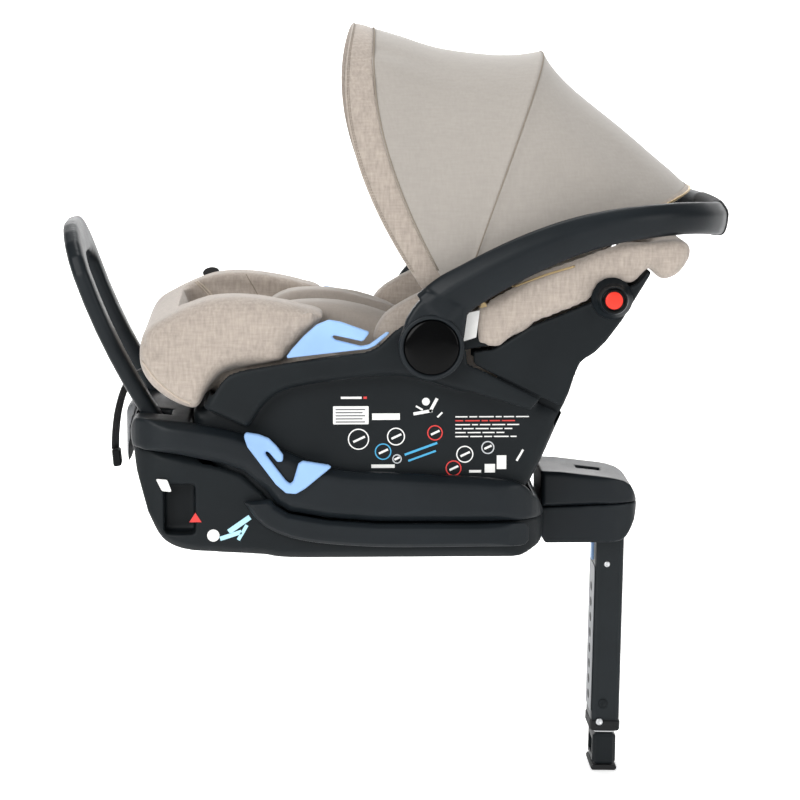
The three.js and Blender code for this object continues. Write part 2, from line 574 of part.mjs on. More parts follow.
// ---- soft parts ---------------------------------------------------------------------------------
function padding() {
  // Main pad: a bolster over the foot end and the sides, hollow for the child.
  const over = sidePlate([[-253, 248, 16], [-250, 222, 16], [-236, 199, 16], [-206, 178, 16],
    [-184, 178, 8], [-174, 200, 8], [-158, 222, 8], [-140, 228], [-88, 238], [-76, 258, 6],
    [-46, 283, 6], [-38, 286], [-58, 291], [-84, 298, 20], [-128, 305, 20], [-167, 304, 20],
    [-202, 292, 16], [-246, 268, 12]], 0, 374, 16);
  const inside = sidePlate([[-184, 262], [-172, 240], [-156, 120, 30], [-118, 66, 20], [138, 64, 20],
    [160, 92, 10], [145, 128], [122, 166], [92, 200], [40, 220], [-60, 240], [-60, 284],
    [-150, 286]], 0, 300, 12);
  const child = sidePlate([[-214, 500], [-208, 258, 20], [-168, 216, 30], [-90, 180, 60],
    [60, 150, 60], [150, 150], [200, 500]], 0, 236, 24);
  const guideRoom = box(-250, -228, -19, 19, 195, 211);
  add('seat_pad', cut(join(over, inside), child, guideRoom), BEIGE);

  // Infant insert: two lobes with a hollow between them.
  const lobes = sidePlate([[-126, 250, 16], [-112, 272, 16], [-84, 290, 20], [-28, 292, 30],
    [52, 268, 20], [84, 236], [84, 176, 10], [56, 158], [-60, 190, 20]], 0, 226, 20);
  const lap = sidePlate([[-140, 400], [-132, 256, 20], [-70, 226, 40], [60, 194, 30], [100, 206],
    [100, 400]], 0, 96, 14);
  add('infant_insert', cut(lobes, lap, box(-132, -90, -20, 20, 190, 270)), SOFT);

  // Head support on the backrest, with its own hollow for the head.
  const rest = sidePlate([[112, 210, 10], [150, 186, 10], [208, 196, 14], [238, 236], [262, 268],
    [306, 326], [296, 348, 16], [250, 340, 20], [130, 318, 20], [98, 262, 14]], 0, 292, 20);
  const head = sidePlate([[60, 226], [116, 226, 20], [176, 236, 30], [236, 300], [310, 420],
    [60, 420]], 0, 150, 16);
  add('head_support', cut(rest, head), SOFT);

  // Quilted cover over the rim of the backrest.
  const skirt = sidePlate([[127, 256, 6], [140, 247.5, 8], [152, 248], [195, 275.5], [235, 290.5],
    [289, 313.5], [313, 323], [327, 338.5], [334, 339], [345, 326, 6], [362, 331, 10],
    [372, 346, 12], [378, 358, 8], [372, 368, 8], [300, 366], [196, 330], [158, 306], [127, 300, 6]],
    0, 382, 6);
  const skirtRoom = sidePlate([[60, 200], [140, 232], [300, 312], [332, 342, 10], [352, 420],
    [60, 420]], 0, 2 * 176, 6);
  const armRoom = box(60, 151, -186.3, 186.3, 200, 400);
  const podRoom = pin(287.5, 303.5, 24.6, -300, 300, 24);
  const shell = cut(skirt, skirtRoom, armRoom, podRoom);
  // Padded side wings beside the head, which a web ties to the cover.
  const wings = Object.values(SIDES).flatMap((side) => [
    sidePlate([[14, 251, 10], [27, 281, 14], [70, 306, 14], [97, 311], [97, 243.4], [50, 238, 14]],
      side * 138.5, 41, 6),
    sidePlate([[90, 309], [150, 318], [196, 322], [196, 280], [150, 253], [90, 243]],
      side * 153.2, 11.6, 3),
    box(154, 194, ...order(side * 156, side * 178), 262, 282)]);
  add('backrest_cover', join(shell, ...wings), BEIGE);
}

// ---- harness ------------------------------------------------------------------------------------
function harness() {
  const belt = (points, y, wide, thick) => {
    const path = new THREE.CatmullRomCurve3(points.map(([x, z]) => new THREE.Vector3(x, y, z)));
    const rings = Array.from({ length: 13 }, (_, i) => {
      const out = new THREE.Vector3(0, 1, 0).cross(path.getTangent(i / 12));
      return ring(path.getPoint(i / 12), new THREE.Vector3(0, 1, 0), out, wide / 2, thick / 2, 8, 6);
    });
    return loft(rings);
  };
  for (const [name, side] of Object.entries(SIDES)) {
    add(`shoulder_strap_${name}`,
      belt([[236, 314], [190, 266], [150, 245], [118, 239], [98, 230], [60, 206], [-20, 221],
        [-58, 238]], side * 26, 32, 3),
      WEBBING);
  }
  add('crotch_strap', belt([[-120, 208], [-112, 226], [-104, 240], [-98, 248]], 0, 36, 3), WEBBING);
  add('buckle', cut(sidePlate([[-98, 250, 5], [-74, 238, 5], [-66, 248, 5], [-84, 264, 6]], 0, 44, 4),
    sidePlate([[-97, 262], [-88, 250.4], [-76, 250.4], [-72, 264]], 0, 20.6, 0)), BLACK);
  add('buckle_button', sidePlate([[-85, 258], [-82, 252.6], [-77, 252.6], [-78, 257]], 0, 20, 0.4),
    RED);
  add('strap_guide', cut(frontPlate([[-18, 196, 4], [18, 196, 4], [18, 210, 4], [-18, 210, 4]], -239, 5),
    box(-250, -230, -10.2, 10.2, 200.8, 205.2)), BLACK);
}

// The loose end of the harness: a flat strap that hangs over the foot end.
const STRAP_ROUTE = [[-236, 203], [-243, 203], [-250, 202.5], [-257, 201], [-263.5, 198],
  [-269, 193.5], [-273.5, 187.5], [-277, 180.5], [-280, 173], [-282.6, 165], [-284.8, 156.5],
  [-286.6, 148], [-288, 138.5], [-289, 129], [-289.7, 119], [-290, 106]];
const STRAP = { wide: 19, thick: 3 };

function looseStrap() {
  const path = new THREE.CatmullRomCurve3(STRAP_ROUTE.map(([x, z]) => new THREE.Vector3(x, 0, z)));
  const steps = 15;
  const rings = Array.from({ length: steps + 1 }, (_, i) => {
    const out = new THREE.Vector3(0, 1, 0).cross(path.getTangent(i / steps));
    return ring(path.getPoint(i / steps), new THREE.Vector3(0, 1, 0), out, STRAP.wide / 2,
      STRAP.thick / 2, 8, 6);
  });
  add('adjuster_strap', loft(rings), WEBBING);
  add('adjuster_strap_end', sidePlate([[-294, 105.5, 2], [-284, 105.5, 2], [-282, 86, 3],
    [-292, 84.5, 3]], 0, 24, 1.5), BLACK);
}

// ---- carrier release ----------------------------------------------------------------------------
function releaseLever() {
  add('release_lever', sidePlate([[204, 97, 3], [212, 94, 3], [225, 116], [240, 151, 3],
    [233, 155, 3], [216, 118]], 0, 96, 2), BLACK);
}

base();
beltHooks();
reboundBar();
tail();
leg();
carrier();
backrest();
handle();
canopy();
padding();
harness();
looseStrap();
releaseLever();

export default group;
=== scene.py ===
import math

import bmesh
import bpy
import numpy as np
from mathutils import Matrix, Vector
from mathutils.bvhtree import BVHTree


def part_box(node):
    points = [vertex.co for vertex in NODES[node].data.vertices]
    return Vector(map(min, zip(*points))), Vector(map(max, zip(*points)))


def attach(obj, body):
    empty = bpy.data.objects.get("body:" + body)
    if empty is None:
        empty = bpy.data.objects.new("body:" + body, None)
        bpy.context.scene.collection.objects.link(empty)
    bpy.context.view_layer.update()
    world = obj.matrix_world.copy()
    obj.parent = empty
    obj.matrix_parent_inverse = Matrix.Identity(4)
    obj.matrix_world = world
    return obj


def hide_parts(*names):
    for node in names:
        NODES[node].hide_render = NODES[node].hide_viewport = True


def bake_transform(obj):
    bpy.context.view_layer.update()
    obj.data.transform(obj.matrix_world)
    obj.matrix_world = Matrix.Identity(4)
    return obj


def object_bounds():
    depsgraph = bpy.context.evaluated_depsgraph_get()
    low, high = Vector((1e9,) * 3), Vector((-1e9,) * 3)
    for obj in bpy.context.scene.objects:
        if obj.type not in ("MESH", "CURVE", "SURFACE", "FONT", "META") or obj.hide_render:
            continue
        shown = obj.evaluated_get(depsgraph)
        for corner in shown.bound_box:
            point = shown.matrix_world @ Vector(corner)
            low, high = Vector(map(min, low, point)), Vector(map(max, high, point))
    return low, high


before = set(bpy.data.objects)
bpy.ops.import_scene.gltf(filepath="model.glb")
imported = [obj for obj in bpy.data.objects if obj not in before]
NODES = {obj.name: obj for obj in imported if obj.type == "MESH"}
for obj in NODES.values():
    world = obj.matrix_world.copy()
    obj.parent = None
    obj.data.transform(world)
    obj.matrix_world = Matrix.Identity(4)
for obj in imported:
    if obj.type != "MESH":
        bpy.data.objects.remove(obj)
CAD_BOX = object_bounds()
MM = 0.001
SIDES = {"left": -1, "right": 1}
SCENE = bpy.context.scene

SEAT_MIDDLE = Vector((0.05135, 0, 0.1625))
CAMERA_DISTANCE = 4.0
CAMERA_ELEVATION = math.radians(7.64)
CAMERA_AZIMUTH = math.radians(-1.86)

TUB_PRINT_Y = -160.1
BASE_PRINT_Y = -168.1
RAY_START_Y = 320


def at(node):
    """Lowest corner, highest corner and middle of a CAD node, in millimetres."""
    low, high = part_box(node)
    return low / MM, high / MM, (low + high) / 2 / MM


# ---- camera ---------------------------------------------------------------------------------------
def camera():
    back = Vector((math.sin(CAMERA_AZIMUTH) * math.cos(CAMERA_ELEVATION),
                   -math.cos(CAMERA_AZIMUTH) * math.cos(CAMERA_ELEVATION),
                   math.sin(CAMERA_ELEVATION)))
    data = bpy.data.cameras.new("camera")
    data.sensor_width = 36
    data.lens = 150
    data.clip_end = 50
    seen = bpy.data.objects.new("camera", data)
    seen.location = SEAT_MIDDLE + back * CAMERA_DISTANCE
    seen.rotation_mode = "QUATERNION"
    seen.rotation_quaternion = (-back).to_track_quat("-Z", "Y")
    SCENE.collection.objects.link(seen)
    SCENE.camera = seen


# ---- materials ------------------------------------------------------------------------------------
class Shader:
    """A Principled material whose colour, roughness and bump come from nodes."""

    def __init__(self, name, colour, roughness, **plain):
        self.material = bpy.data.materials.new(name)
        self.material.use_nodes = True
        self.tree = self.material.node_tree
        self.bsdf = self.tree.nodes["Principled BSDF"]
        self.bsdf.inputs["Base Color"].default_value = (*colour, 1)
        self.bsdf.inputs["Roughness"].default_value = roughness
        self.colour = colour
        for socket, value in plain.items():
            self.bsdf.inputs[socket.replace("_", " ")].default_value = value
        self.coordinates = self.node("ShaderNodeTexCoord").outputs["Object"]
        self.heights = []

    def node(self, kind, **settings):
        made = self.tree.nodes.new(kind)
        for key, value in settings.items():
            if key in made.inputs:
                made.inputs[key].default_value = value
            else:
                setattr(made, key, value)
        return made

    def link(self, source, target):
        self.tree.links.new(source, target)

    def noise(self, scale, stretch=(1, 1, 1), detail=2.0):
        """Noise of `scale` cells to the metre, with each axis stretched by a factor."""
        place = self.node("ShaderNodeMapping")
        place.inputs["Scale"].default_value = stretch
        self.link(self.coordinates, place.inputs["Vector"])
        made = self.node("ShaderNodeTexNoise", Scale=scale, Detail=detail)
        self.link(place.outputs["Vector"], made.inputs["Vector"])
        return made.outputs["Fac"]

    def spread(self, value, low, high, start=0.0, end=1.0):
        made = self.node("ShaderNodeMapRange")
        for socket, number in (("From Min", start), ("From Max", end),
                               ("To Min", low), ("To Max", high)):
            made.inputs[socket].default_value = number
        self.link(value, made.inputs["Value"])
        return made.outputs["Result"]

    def math(self, operation, a, b):
        made = self.node("ShaderNodeMath", operation=operation)
        for socket, value in zip(made.inputs, (a, b)):
            if isinstance(value, (int, float)):
                socket.default_value = value
            else:
                self.link(value, socket)
        return made.outputs[0]

    def shade(self, amount):
        """Base colour times `amount`, a value near 1."""
        mix = self.node("ShaderNodeVectorMath", operation="SCALE")
        mix.inputs[0].default_value = self.colour
        self.link(amount, mix.inputs["Scale"])
        self.link(mix.outputs[0], self.bsdf.inputs["Base Color"])

    def rough(self, amount):
        self.link(amount, self.bsdf.inputs["Roughness"])

    def bump(self, height, distance, strength=1.0):
        made = self.node("ShaderNodeBump", Strength=strength, Distance=distance)
        self.link(height, made.inputs["Height"])
        if self.heights:
            self.link(self.heights[-1], made.inputs["Normal"])
        self.heights.append(made.outputs["Normal"])
        self.link(made.outputs["Normal"], self.bsdf.inputs["Normal"])


def moulded_plastic(name, colour, roughness, grain=0.05, **plain):
    s = Shader(name, colour, roughness, **plain)
    flow = s.noise(14, detail=3)
    s.shade(s.spread(flow, 0.9, 1.12, 0.3, 0.7))
    s.rough(s.math("ADD", s.spread(flow, roughness - 0.05, roughness + 0.05, 0.3, 0.7),
                   s.spread(s.noise(600), -0.04, 0.04)))
    s.bump(s.noise(1500, detail=1), grain * MM)
    return s.material


def woven(name, colour, melange, streak, weave=0.10, folds=0.5, **plain):
    """Cloth: slubs along both threads, a fine weave, and slow creases `folds` millimetres deep."""
    s = Shader(name, colour, 0.9, Sheen_Weight=0.25, Sheen_Roughness=0.5, **plain)
    along = s.noise(330, (1, 1, 0.22), 3)
    across = s.noise(330, (0.2, 0.2, 1.3), 3)
    threads = s.math("ADD", s.spread(along, -melange, melange, 0.3, 0.7),
                     s.spread(across, -melange * streak, melange * streak, 0.3, 0.7))
    slow = s.spread(s.noise(9, detail=2), -0.02, 0.02, 0.3, 0.7)
    s.shade(s.math("ADD", s.math("ADD", threads, slow), 1.0))
    s.rough(s.spread(along, 0.84, 0.96))
    s.bump(s.noise(16, (1, 1, 1), 2), folds * MM)
    cross = s.math("ADD", s.noise(1300, (1, 1, 0.3), 1), s.noise(1300, (0.3, 0.3, 1), 1))
    s.bump(cross, weave * MM)
    return s.material


def webbing_material():
    s = Shader("webbing", (0.012, 0.012, 0.013), 0.75, Sheen_Weight=0.1)
    rib = s.node("ShaderNodeTexWave", Scale=300, Distortion=1.5, bands_direction="Y")
    s.link(s.coordinates, rib.inputs["Vector"])
    s.shade(s.spread(rib.outputs["Fac"], 0.7, 1.4))
    s.bump(rib.outputs["Fac"], 0.25 * MM)
    s.bump(s.noise(1100), 0.1 * MM)
    return s.material


def metal(name, colour, roughness, brushed=40):
    s = Shader(name, colour, roughness, Metallic=1.0)
    lines = s.noise(500, (1, 1, 1 / brushed), 2)
    s.rough(s.spread(lines, roughness - 0.08, roughness + 0.12))
    s.shade(s.spread(s.noise(40), 0.9, 1.1))
    s.bump(lines, 0.03 * MM)
    return s.material


def leg_paint():
    s = Shader("leg_paint", (0.0085, 0.0115, 0.0135), 0.42, Specular_IOR_Level=0.2)
    peel = s.noise(420, detail=1)
    s.shade(s.spread(s.noise(25), 0.85, 1.25))
    s.rough(s.spread(peel, 0.36, 0.5))
    s.bump(peel, 0.04 * MM)
    return s.material


def printed(name, colour, roughness=0.45):
    s = Shader(name, colour, roughness)
    s.shade(s.spread(s.noise(220), 0.93, 1.05))
    s.bump(s.noise(800), 0.02 * MM)
    return s.material


def materials():
    return {
        "black": moulded_plastic("black_plastic", (0.0068, 0.0092, 0.0108), 0.48,
                                 Specular_IOR_Level=0.15),
        "satin": moulded_plastic("satin_plastic", (0.0072, 0.0100, 0.0124), 0.40,
                                 Specular_IOR_Level=0.19),
        # deep_plastic: the adjuster strap's dark end, and also the painted shade in the leg's holes
        "dark": moulded_plastic("deep_plastic", (0.003, 0.0038, 0.0045), 0.6,
                                Specular_IOR_Level=0.15),
        "grey": moulded_plastic("grey_plastic", (0.060, 0.066, 0.075), 0.5,
                                Specular_IOR_Level=0.35),
        # pale grey of the leg's track: painted light, standing for the front lamp falling on the leg's
        # front face
        "track": moulded_plastic("leg_track_painted_lit", (0.17, 0.18, 0.19), 0.5),
        "gloss": moulded_plastic("gloss_disc", (0.0012, 0.0013, 0.0014), 0.1, grain=0.0,
                                 Specular_IOR_Level=0.10),
        "blue": moulded_plastic("blue_plastic", (0.27, 0.44, 0.72), 0.5,
                                Specular_IOR_Level=0.25),
        "red": moulded_plastic("red_disc", (0.80, 0.035, 0.018), 0.35, Specular_IOR_Level=0.35),
        "rubber": moulded_plastic("rubber_grip", (0.008, 0.0085, 0.009), 0.7, grain=0.1,
                                  Specular_IOR_Level=0.25),
        "canopy": woven("canopy_fabric", (0.335, 0.308, 0.278), 0.035, 0.8, weave=0.05, folds=0.35),
        "beige": woven("melange_fabric", (0.355, 0.305, 0.262), 0.13, 0.6, weave=0.09, folds=0.5),
        "insert": woven("insert_fabric", (0.325, 0.286, 0.250), 0.05, 0.6, weave=0.06, folds=0.4),
        # seam thread colour: the real thread of the stitches, and also painted shade in the canopy's
        # seam gaps
        "thread_and_shade": printed("thread_and_seam_shade", (0.24, 0.205, 0.165), 0.9),
        "piping": woven("piping_fabric", (0.43, 0.365, 0.30), 0.06, 0.5, weave=0.05, folds=0.0),
        "webbing": webbing_material(),
        "steel": metal("zinc_steel", (0.56, 0.57, 0.58), 0.34),
        "brass": metal("brass_zipper", (0.44, 0.33, 0.18), 0.35, brushed=1),
        "paint": leg_paint(),
        "white": printed("white_label", (0.82, 0.82, 0.80)),
        "pale": printed("pale_print", (0.50, 0.52, 0.54)),
        "ink": printed("ink_print", (0.10, 0.105, 0.11)),
        "sky": printed("blue_print", (0.05, 0.36, 0.62)),
        "ice": printed("ice_print", (0.42, 0.72, 0.84)),
        "signal": printed("red_print", (0.66, 0.035, 0.03)),
    }


# ---- meshes ---------------------------------------------------------------------------------------
def piece(name, vertices, faces, finish, smooth=True):
    """A mesh object from vertices in millimetres."""
    mesh = bpy.data.meshes.new(name)
    mesh.from_pydata([tuple(Vector(v) * MM) for v in vertices], [], faces)
    mesh.materials.append(finish)
    obj = bpy.data.objects.new(name, mesh)
    SCENE.collection.objects.link(obj)
    outward(obj)
    mesh.shade_smooth() if smooth else mesh.shade_flat()
    return obj


def outward(obj):
    """Turns every face of a mesh to look outwards."""
    edit = bmesh.new()
    edit.from_mesh(obj.data)
    bmesh.ops.recalc_face_normals(edit, faces=edit.faces)
    edit.to_mesh(obj.data)
    edit.free()


def settle(obj):
    """Applies the modifiers of an object to its mesh."""
    graph = bpy.context.evaluated_depsgraph_get()
    mesh = bpy.data.meshes.new_from_object(obj.evaluated_get(graph))
    obj.modifiers.clear()
    obj.data = mesh


def modify(obj, kind, **settings):
    made = obj.modifiers.new(kind.lower(), kind)
    for key, value in settings.items():
        setattr(made, key, value)


def copied(name, nodes, finish):
    """One new object with the meshes of some CAD nodes."""
    edit = bmesh.new()
    for node in nodes:
        edit.from_mesh(NODES[node].data)
    mesh = bpy.data.meshes.new(name)
    edit.to_mesh(mesh)
    edit.free()
    mesh.materials.clear()
    mesh.materials.append(finish)
    obj = bpy.data.objects.new(name, mesh)
    SCENE.collection.objects.link(obj)
    return obj


def remeshed(obj, voxel, rounds, factor=0.5):
    """An even skin over a mesh, with its edges rounded by smoothing."""
    finish = obj.data.materials[0]
    modify(obj, "REMESH", mode="VOXEL", voxel_size=voxel * MM)
    if rounds:
        modify(obj, "SMOOTH", factor=factor, iterations=rounds)
    settle(obj)
    obj.data.materials.clear()
    obj.data.materials.append(finish)
    obj.data.shade_smooth()
    return obj


def points_of(obj):
    flat = np.empty(len(obj.data.vertices) * 3, np.float32)
    obj.data.vertices.foreach_get("co", flat)
    return flat.reshape(-1, 3).astype(float) / MM


def normals_of(obj):
    flat = np.empty(len(obj.data.vertices) * 3, np.float32)
    obj.data.vertices.foreach_get("normal", flat)
    return flat.reshape(-1, 3).astype(float)


def put_points(obj, points):
    obj.data.vertices.foreach_set("co", (points * MM).astype(np.float32).ravel())
    obj.data.update()


def moulding(name, node, body, finish, slot, voxel=2.2, rounds=5, shape=None):
    """A CAD plastic part with its edges rounded as a mould leaves them."""
    obj = remeshed(copied(name, [node], finish), voxel, rounds)
    if shape:
        put_points(obj, shape(points_of(obj), normals_of(obj)))
    return placed(obj, body, slot, node)


def placed(obj, body, slot=None, *nodes):
    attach(obj, body)
    if nodes:
        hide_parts(*nodes)
    return obj


def distance_to(points, line):
    """Distance of each point from a polyline."""
    best = np.full(len(points), 1e9)
    for a, b in zip(line[:-1], line[1:]):
        a, b = np.array(a, float), np.array(b, float)
        t = np.clip(((points - a) @ (b - a)) / max((b - a) @ (b - a), 1e-9), 0, 1)
        best = np.minimum(best, np.linalg.norm(points - a - t[:, None] * (b - a), axis=1))
    return best


def crease(obj, line, depth, width):
    """Sinks the surface along a seam."""
    points = points_of(obj)
    fall = np.exp(-(distance_to(points, line) / width) ** 2)
    put_points(obj, points - normals_of(obj) * (depth * fall)[:, None])


def curve_through(points, steps):
    """Points along a smooth curve through a few points."""
    p = [np.array(q, float) for q in points]
    p = [2 * p[0] - p[1], *p, 2 * p[-1] - p[-2]]
    made = []
    for i in range(1, len(p) - 2):
        for k in range(steps):
            t = k / steps
            made.append(0.5 * (2 * p[i] + (p[i + 1] - p[i - 1]) * t
                               + (2 * p[i - 1] - 5 * p[i] + 4 * p[i + 1] - p[i + 2]) * t * t
                               + (3 * p[i] - p[i - 1] - 3 * p[i + 1] + p[i + 2]) * t ** 3))
    made.append(p[-2])
    return made


def tube_mesh(line, radius, sides=8):
    """Vertices and faces of a round tube along a line, closed at both ends."""
    line = [Vector(p) for p in line]
    vertices, faces = [], []
    side = None
    for i, p in enumerate(line):
        along = (line[min(i + 1, len(line) - 1)] - line[max(i - 1, 0)]).normalized()
        if side is None:
            side = along.orthogonal().normalized()
        side = (side - along * side.dot(along)).normalized()
        up = along.cross(side)
        for k in range(sides):
            turn = 2 * math.pi * k / sides
            vertices.append(p + (side * math.cos(turn) + up * math.sin(turn)) * radius)
    for i in range(len(line) - 1):
        for k in range(sides):
            a, b = i * sides + k, i * sides + (k + 1) % sides
            faces.append((a, b, b + sides, a + sides))
    faces.append(tuple(range(sides))[::-1])
    last = (len(line) - 1) * sides
    faces.append(tuple(last + k for k in range(sides)))
    return vertices, faces


def tubes(name, lines, radius, finish, sides=8):
    """Several tubes as one piece: piping, seams or stitches."""
    vertices, faces = [], []
    for line in lines:
        more, joined = tube_mesh(line, radius, sides)
        faces += [tuple(k + len(vertices) for k in f) for f in joined]
        vertices += more
    return piece(name, vertices, faces, finish)


def stitched(line, length=2.4, gap=1.2):
    """Cuts a line into stitches."""
    line = [Vector(p) for p in line]
    marks, walked = [], 0.0
    for a, b in zip(line[:-1], line[1:]):
        marks.append((walked, a))
        walked += (b - a).length
    marks.append((walked, line[-1]))

    def where(s):
        for (s0, a), (s1, b) in zip(marks[:-1], marks[1:]):
            if s <= s1:
                return a.lerp(b, (s - s0) / max(s1 - s0, 1e-9))
        return marks[-1][1]

    starts = np.arange(0, walked - length, length + gap)
    return [[where(s), where(s + length / 2), where(s + length)] for s in starts]


def skin_of(*objects):
    """Something that lines and labels can be laid on."""
    vertices, faces = [], []
    for obj in objects:
        start = len(vertices)
        vertices += [obj.matrix_world @ v.co / MM for v in obj.data.vertices]
        faces += [tuple(start + k for k in p.vertices) for p in obj.data.polygons]
    return BVHTree.FromPolygons(vertices, faces)


def laid(skin, outline, start, way, proud=0.0):
    """Drops each (x, z) of an outline onto a skin, along Y from `start` towards `way`."""
    made = []
    for x, z in outline:
        hit = skin.ray_cast(Vector((x, start, z)), Vector((0, way, 0)))[0]
        if hit is not None:
            made.append(hit + Vector((0, -way * proud, 0)))
    return made


def rounded(corners, steps=6):
    """A closed outline from corners [a, b, radius]."""
    made = []
    count = len(corners)
    for i, corner in enumerate(corners):
        here = Vector(corner[:2])
        radius = corner[2] if len(corner) > 2 else 0
        before, after = Vector(corners[i - 1][:2]), Vector(corners[(i + 1) % count][:2])
        if radius == 0:
            made.append(here)
            continue
        start = here + (before - here).normalized() * min(radius, 0.45 * (before - here).length)
        end = here + (after - here).normalized() * min(radius, 0.45 * (after - here).length)
        for k in range(steps + 1):
            t = k / steps
            made.append(start * (1 - t) ** 2 + here * 2 * t * (1 - t) + end * t * t)
    return [tuple(p) for p in made]


def prism_faces(count):
    """Faces between two copies of an outline of `count` points."""
    return [tuple(range(count)), tuple(range(2 * count - 1, count - 1, -1)),
            *((k, (k + 1) % count, count + (k + 1) % count, count + k) for k in range(count))]


def slab(outline, y, thick):
    """Vertices and faces of a flat piece standing in the side view."""
    vertices = [(x, level, z) for level in (y - thick / 2, y + thick / 2) for x, z in outline]
    return vertices, prism_faces(len(outline))


def slabs(name, outlines, y, thick, finish):
    vertices, faces = [], []
    for outline in outlines:
        more, joined = slab(outline, y, thick)
        faces += [tuple(k + len(vertices) for k in f) for f in joined]
        vertices += more
    return piece(name, vertices, faces, finish, smooth=False)


def disc(x, z, r, count=28):
    turns = [2 * math.pi * k / count for k in range(count)]
    return [(x + r * math.cos(turn), z + r * math.sin(turn)) for turn in turns]


def bar(x, z, length, height, turn=0.0):
    """A printed bar from (x, z), `length` long and turned by some degrees."""
    c, s = math.cos(math.radians(turn)), math.sin(math.radians(turn))
    return [(x + u * c - v * s, z + u * s + v * c)
            for u, v in ((0, 0), (length, 0), (length, height), (0, height))]


def lathed(name, profile, x, z, side, finish, count=64):
    """A round part about an axis along Y. The profile lists (radius, y), with y growing outwards."""
    vertices, faces = [], []
    for r, y in profile:
        for k in range(count):
            turn = 2 * math.pi * k / count
            vertices.append((x + r * math.cos(turn), side * y, z + r * math.sin(turn)))
    rows = len(profile)
    for i in range(rows - 1):
        for k in range(count):
            a, b = i * count + k, i * count + (k + 1) % count
            faces.append((a, b, b + count, a + count))
    faces.append(tuple(range(count)))
    faces.append(tuple((rows - 1) * count + k for k in range(count)))
    return piece(name, vertices, faces, finish)


# ---- plastics -------------------------------------------------------------------------------------
def base_parts(m):
    moulding("base_upper", "base_upper_shell", "base", m["satin"], "black_plastic", 2.2, 6)
    moulding("base_lower", "base_lower_shell", "base", m["black"], "black_plastic", 2.4, 6)
    moulding("base_cap", "base_end_cap", "base", m["grey"], "grey_plastic", 1.6, 5)
    moulding("tail_top", "tail_top_cover", "base", m["satin"], "black_plastic", 1.6, 5)
    moulding("tail_bottom", "tail_bottom_cover", "base", m["satin"], "black_plastic", 1.6, 5)
    for name in SIDES:
        moulding(f"side_panel_{name}", f"base_side_panel_{name}", "base", m["satin"],
                 "black_plastic", 1.2, 4)
        moulding(f"base_hook_{name}", f"base_belt_hook_{name}", "base", m["blue"],
                 "blue_plastic", 0.9, 4)
        moulding(f"carrier_hook_{name}", f"carrier_belt_hook_{name}", "carrier", m["blue"],
                 "blue_plastic", 0.9, 4)
    moulding("rebound_bar", "anti_rebound_bar", "base", m["satin"], "black_plastic", 2.0, 6)


def carrier_parts(m):
    moulding("carrier_tub", "carrier_shell", "carrier", m["black"], "black_plastic", 2.2, 7)
    moulding("backrest_tub", "backrest_shell", "backrest", m["black"], "black_plastic", 2.0, 5)
    for name, side in SIDES.items():
        low, high, middle = at(f"side_pod_{name}")
        root, face = min(abs(low.y), abs(high.y)), max(abs(low.y), abs(high.y))
        pod = lathed(f"pod_{name}", [
            (24, root), (23.6, root + 0.8), (20, root + 5), (17.2, root + 10), (16.4, root + 16),
            (16.3, root + 23), (15.6, root + 25.6), (15.1, face - 0.9), (14.4, face - 1.4)],
            middle.x, middle.z, side, m["satin"])
        placed(pod, f"side_pod_{name}", "black_plastic", f"side_pod_{name}")
        ring = lathed(f"pod_ring_{name}", [
            (14.6, face - 2.4), (14.4, face - 0.6), (13.4, face), (11.4, face), (10.6, face - 0.5),
            (10.3, face - 2.4)], middle.x, middle.z, side, m["gloss"])
        placed(ring, f"side_pod_{name}", "gloss_black")
        disc_face = lathed(f"pod_face_{name}", [
            (10, face - 3.6), (10, face - 1.0), (9.2, face - 0.7), (4.5, face - 0.45),
            (0.4, face - 0.4)], middle.x, middle.z, side, m["red"])
        placed(disc_face, f"side_pod_{name}", "red_plastic", f"side_pod_disc_{name}")


def kept_parts(m):
    """The CAD parts that keep their own mesh: the leg, the metalwork, the pivots and the harness."""
    for node, finish in (("leg_outer_tube", "paint"), ("leg_inner_tube", "steel"),
                         ("leg_collar", "rubber"), ("leg_foot", "black"), ("leg_foot_sole", "rubber"),
                         ("leg_release_button", "blue"), ("leg_indicator", "grey"),
                         ("leg_pivot_pin", "steel"), ("latch_bar_front", "steel"),
                         ("latch_bar_rear", "steel"), ("anchor_strap_tab_left", "white"),
                         ("anchor_strap_tab_right", "white"), ("release_lever", "black"),
                         ("handle_pivot_left", "black"), ("handle_pivot_right", "black"),
                         ("backrest_arm_left", "black"), ("backrest_arm_right", "black"),
                         ("canopy_pin_left", "black"), ("canopy_pin_right", "black"),
                         ("rear_belt_guide", "blue"), ("canopy_front_bow", "black"),
                         ("canopy_mid_bow", "black"), ("buckle", "black"), ("buckle_button", "red"),
                         ("strap_guide", "black"), ("adjuster_strap_end", "dark"),
                         ("crotch_strap", "webbing"), ("shoulder_strap_left", "webbing"),
                         ("shoulder_strap_right", "webbing")):
        dressed(node, m[finish])


def dressed(node, finish, bevel=0.8):
    """Keeps a CAD node, with a finish and a fine bevel."""
    obj = NODES[node]
    obj.data.materials.clear()
    obj.data.materials.append(finish)
    modify(obj, "BEVEL", width=bevel * MM, segments=2, limit_method="ANGLE",
           angle_limit=math.radians(35))
    obj.data.shade_flat()


# ---- handle ---------------------------------------------------------------------------------------
HUB_X, HUB_Z = 80, 252
CROSSBAR_X = 380
# Centre line of half the handle: x, y, z, half height, half thickness, from hub to mid-crossbar.
HANDLE_LINE = [
    (84, 213, 290, 30, 11), (102, 213, 308, 27, 11), (124, 213, 322, 25, 11),
    (155, 212.5, 339, 24, 11), (195, 211, 358, 23, 11), (240, 208, 375, 21.5, 11),
    (285, 202, 386, 20, 11.5), (325, 192, 391, 19, 12), (360, 174, 393, 18.5, 12.5),
    (389, 148, 392, 18.5, 13), (409, 114, 389, 19, 12.5), (421, 74, 386, 19.5, 12),
    (427, 36, 384, 20, 12), (429, 0, 383, 20, 12)]


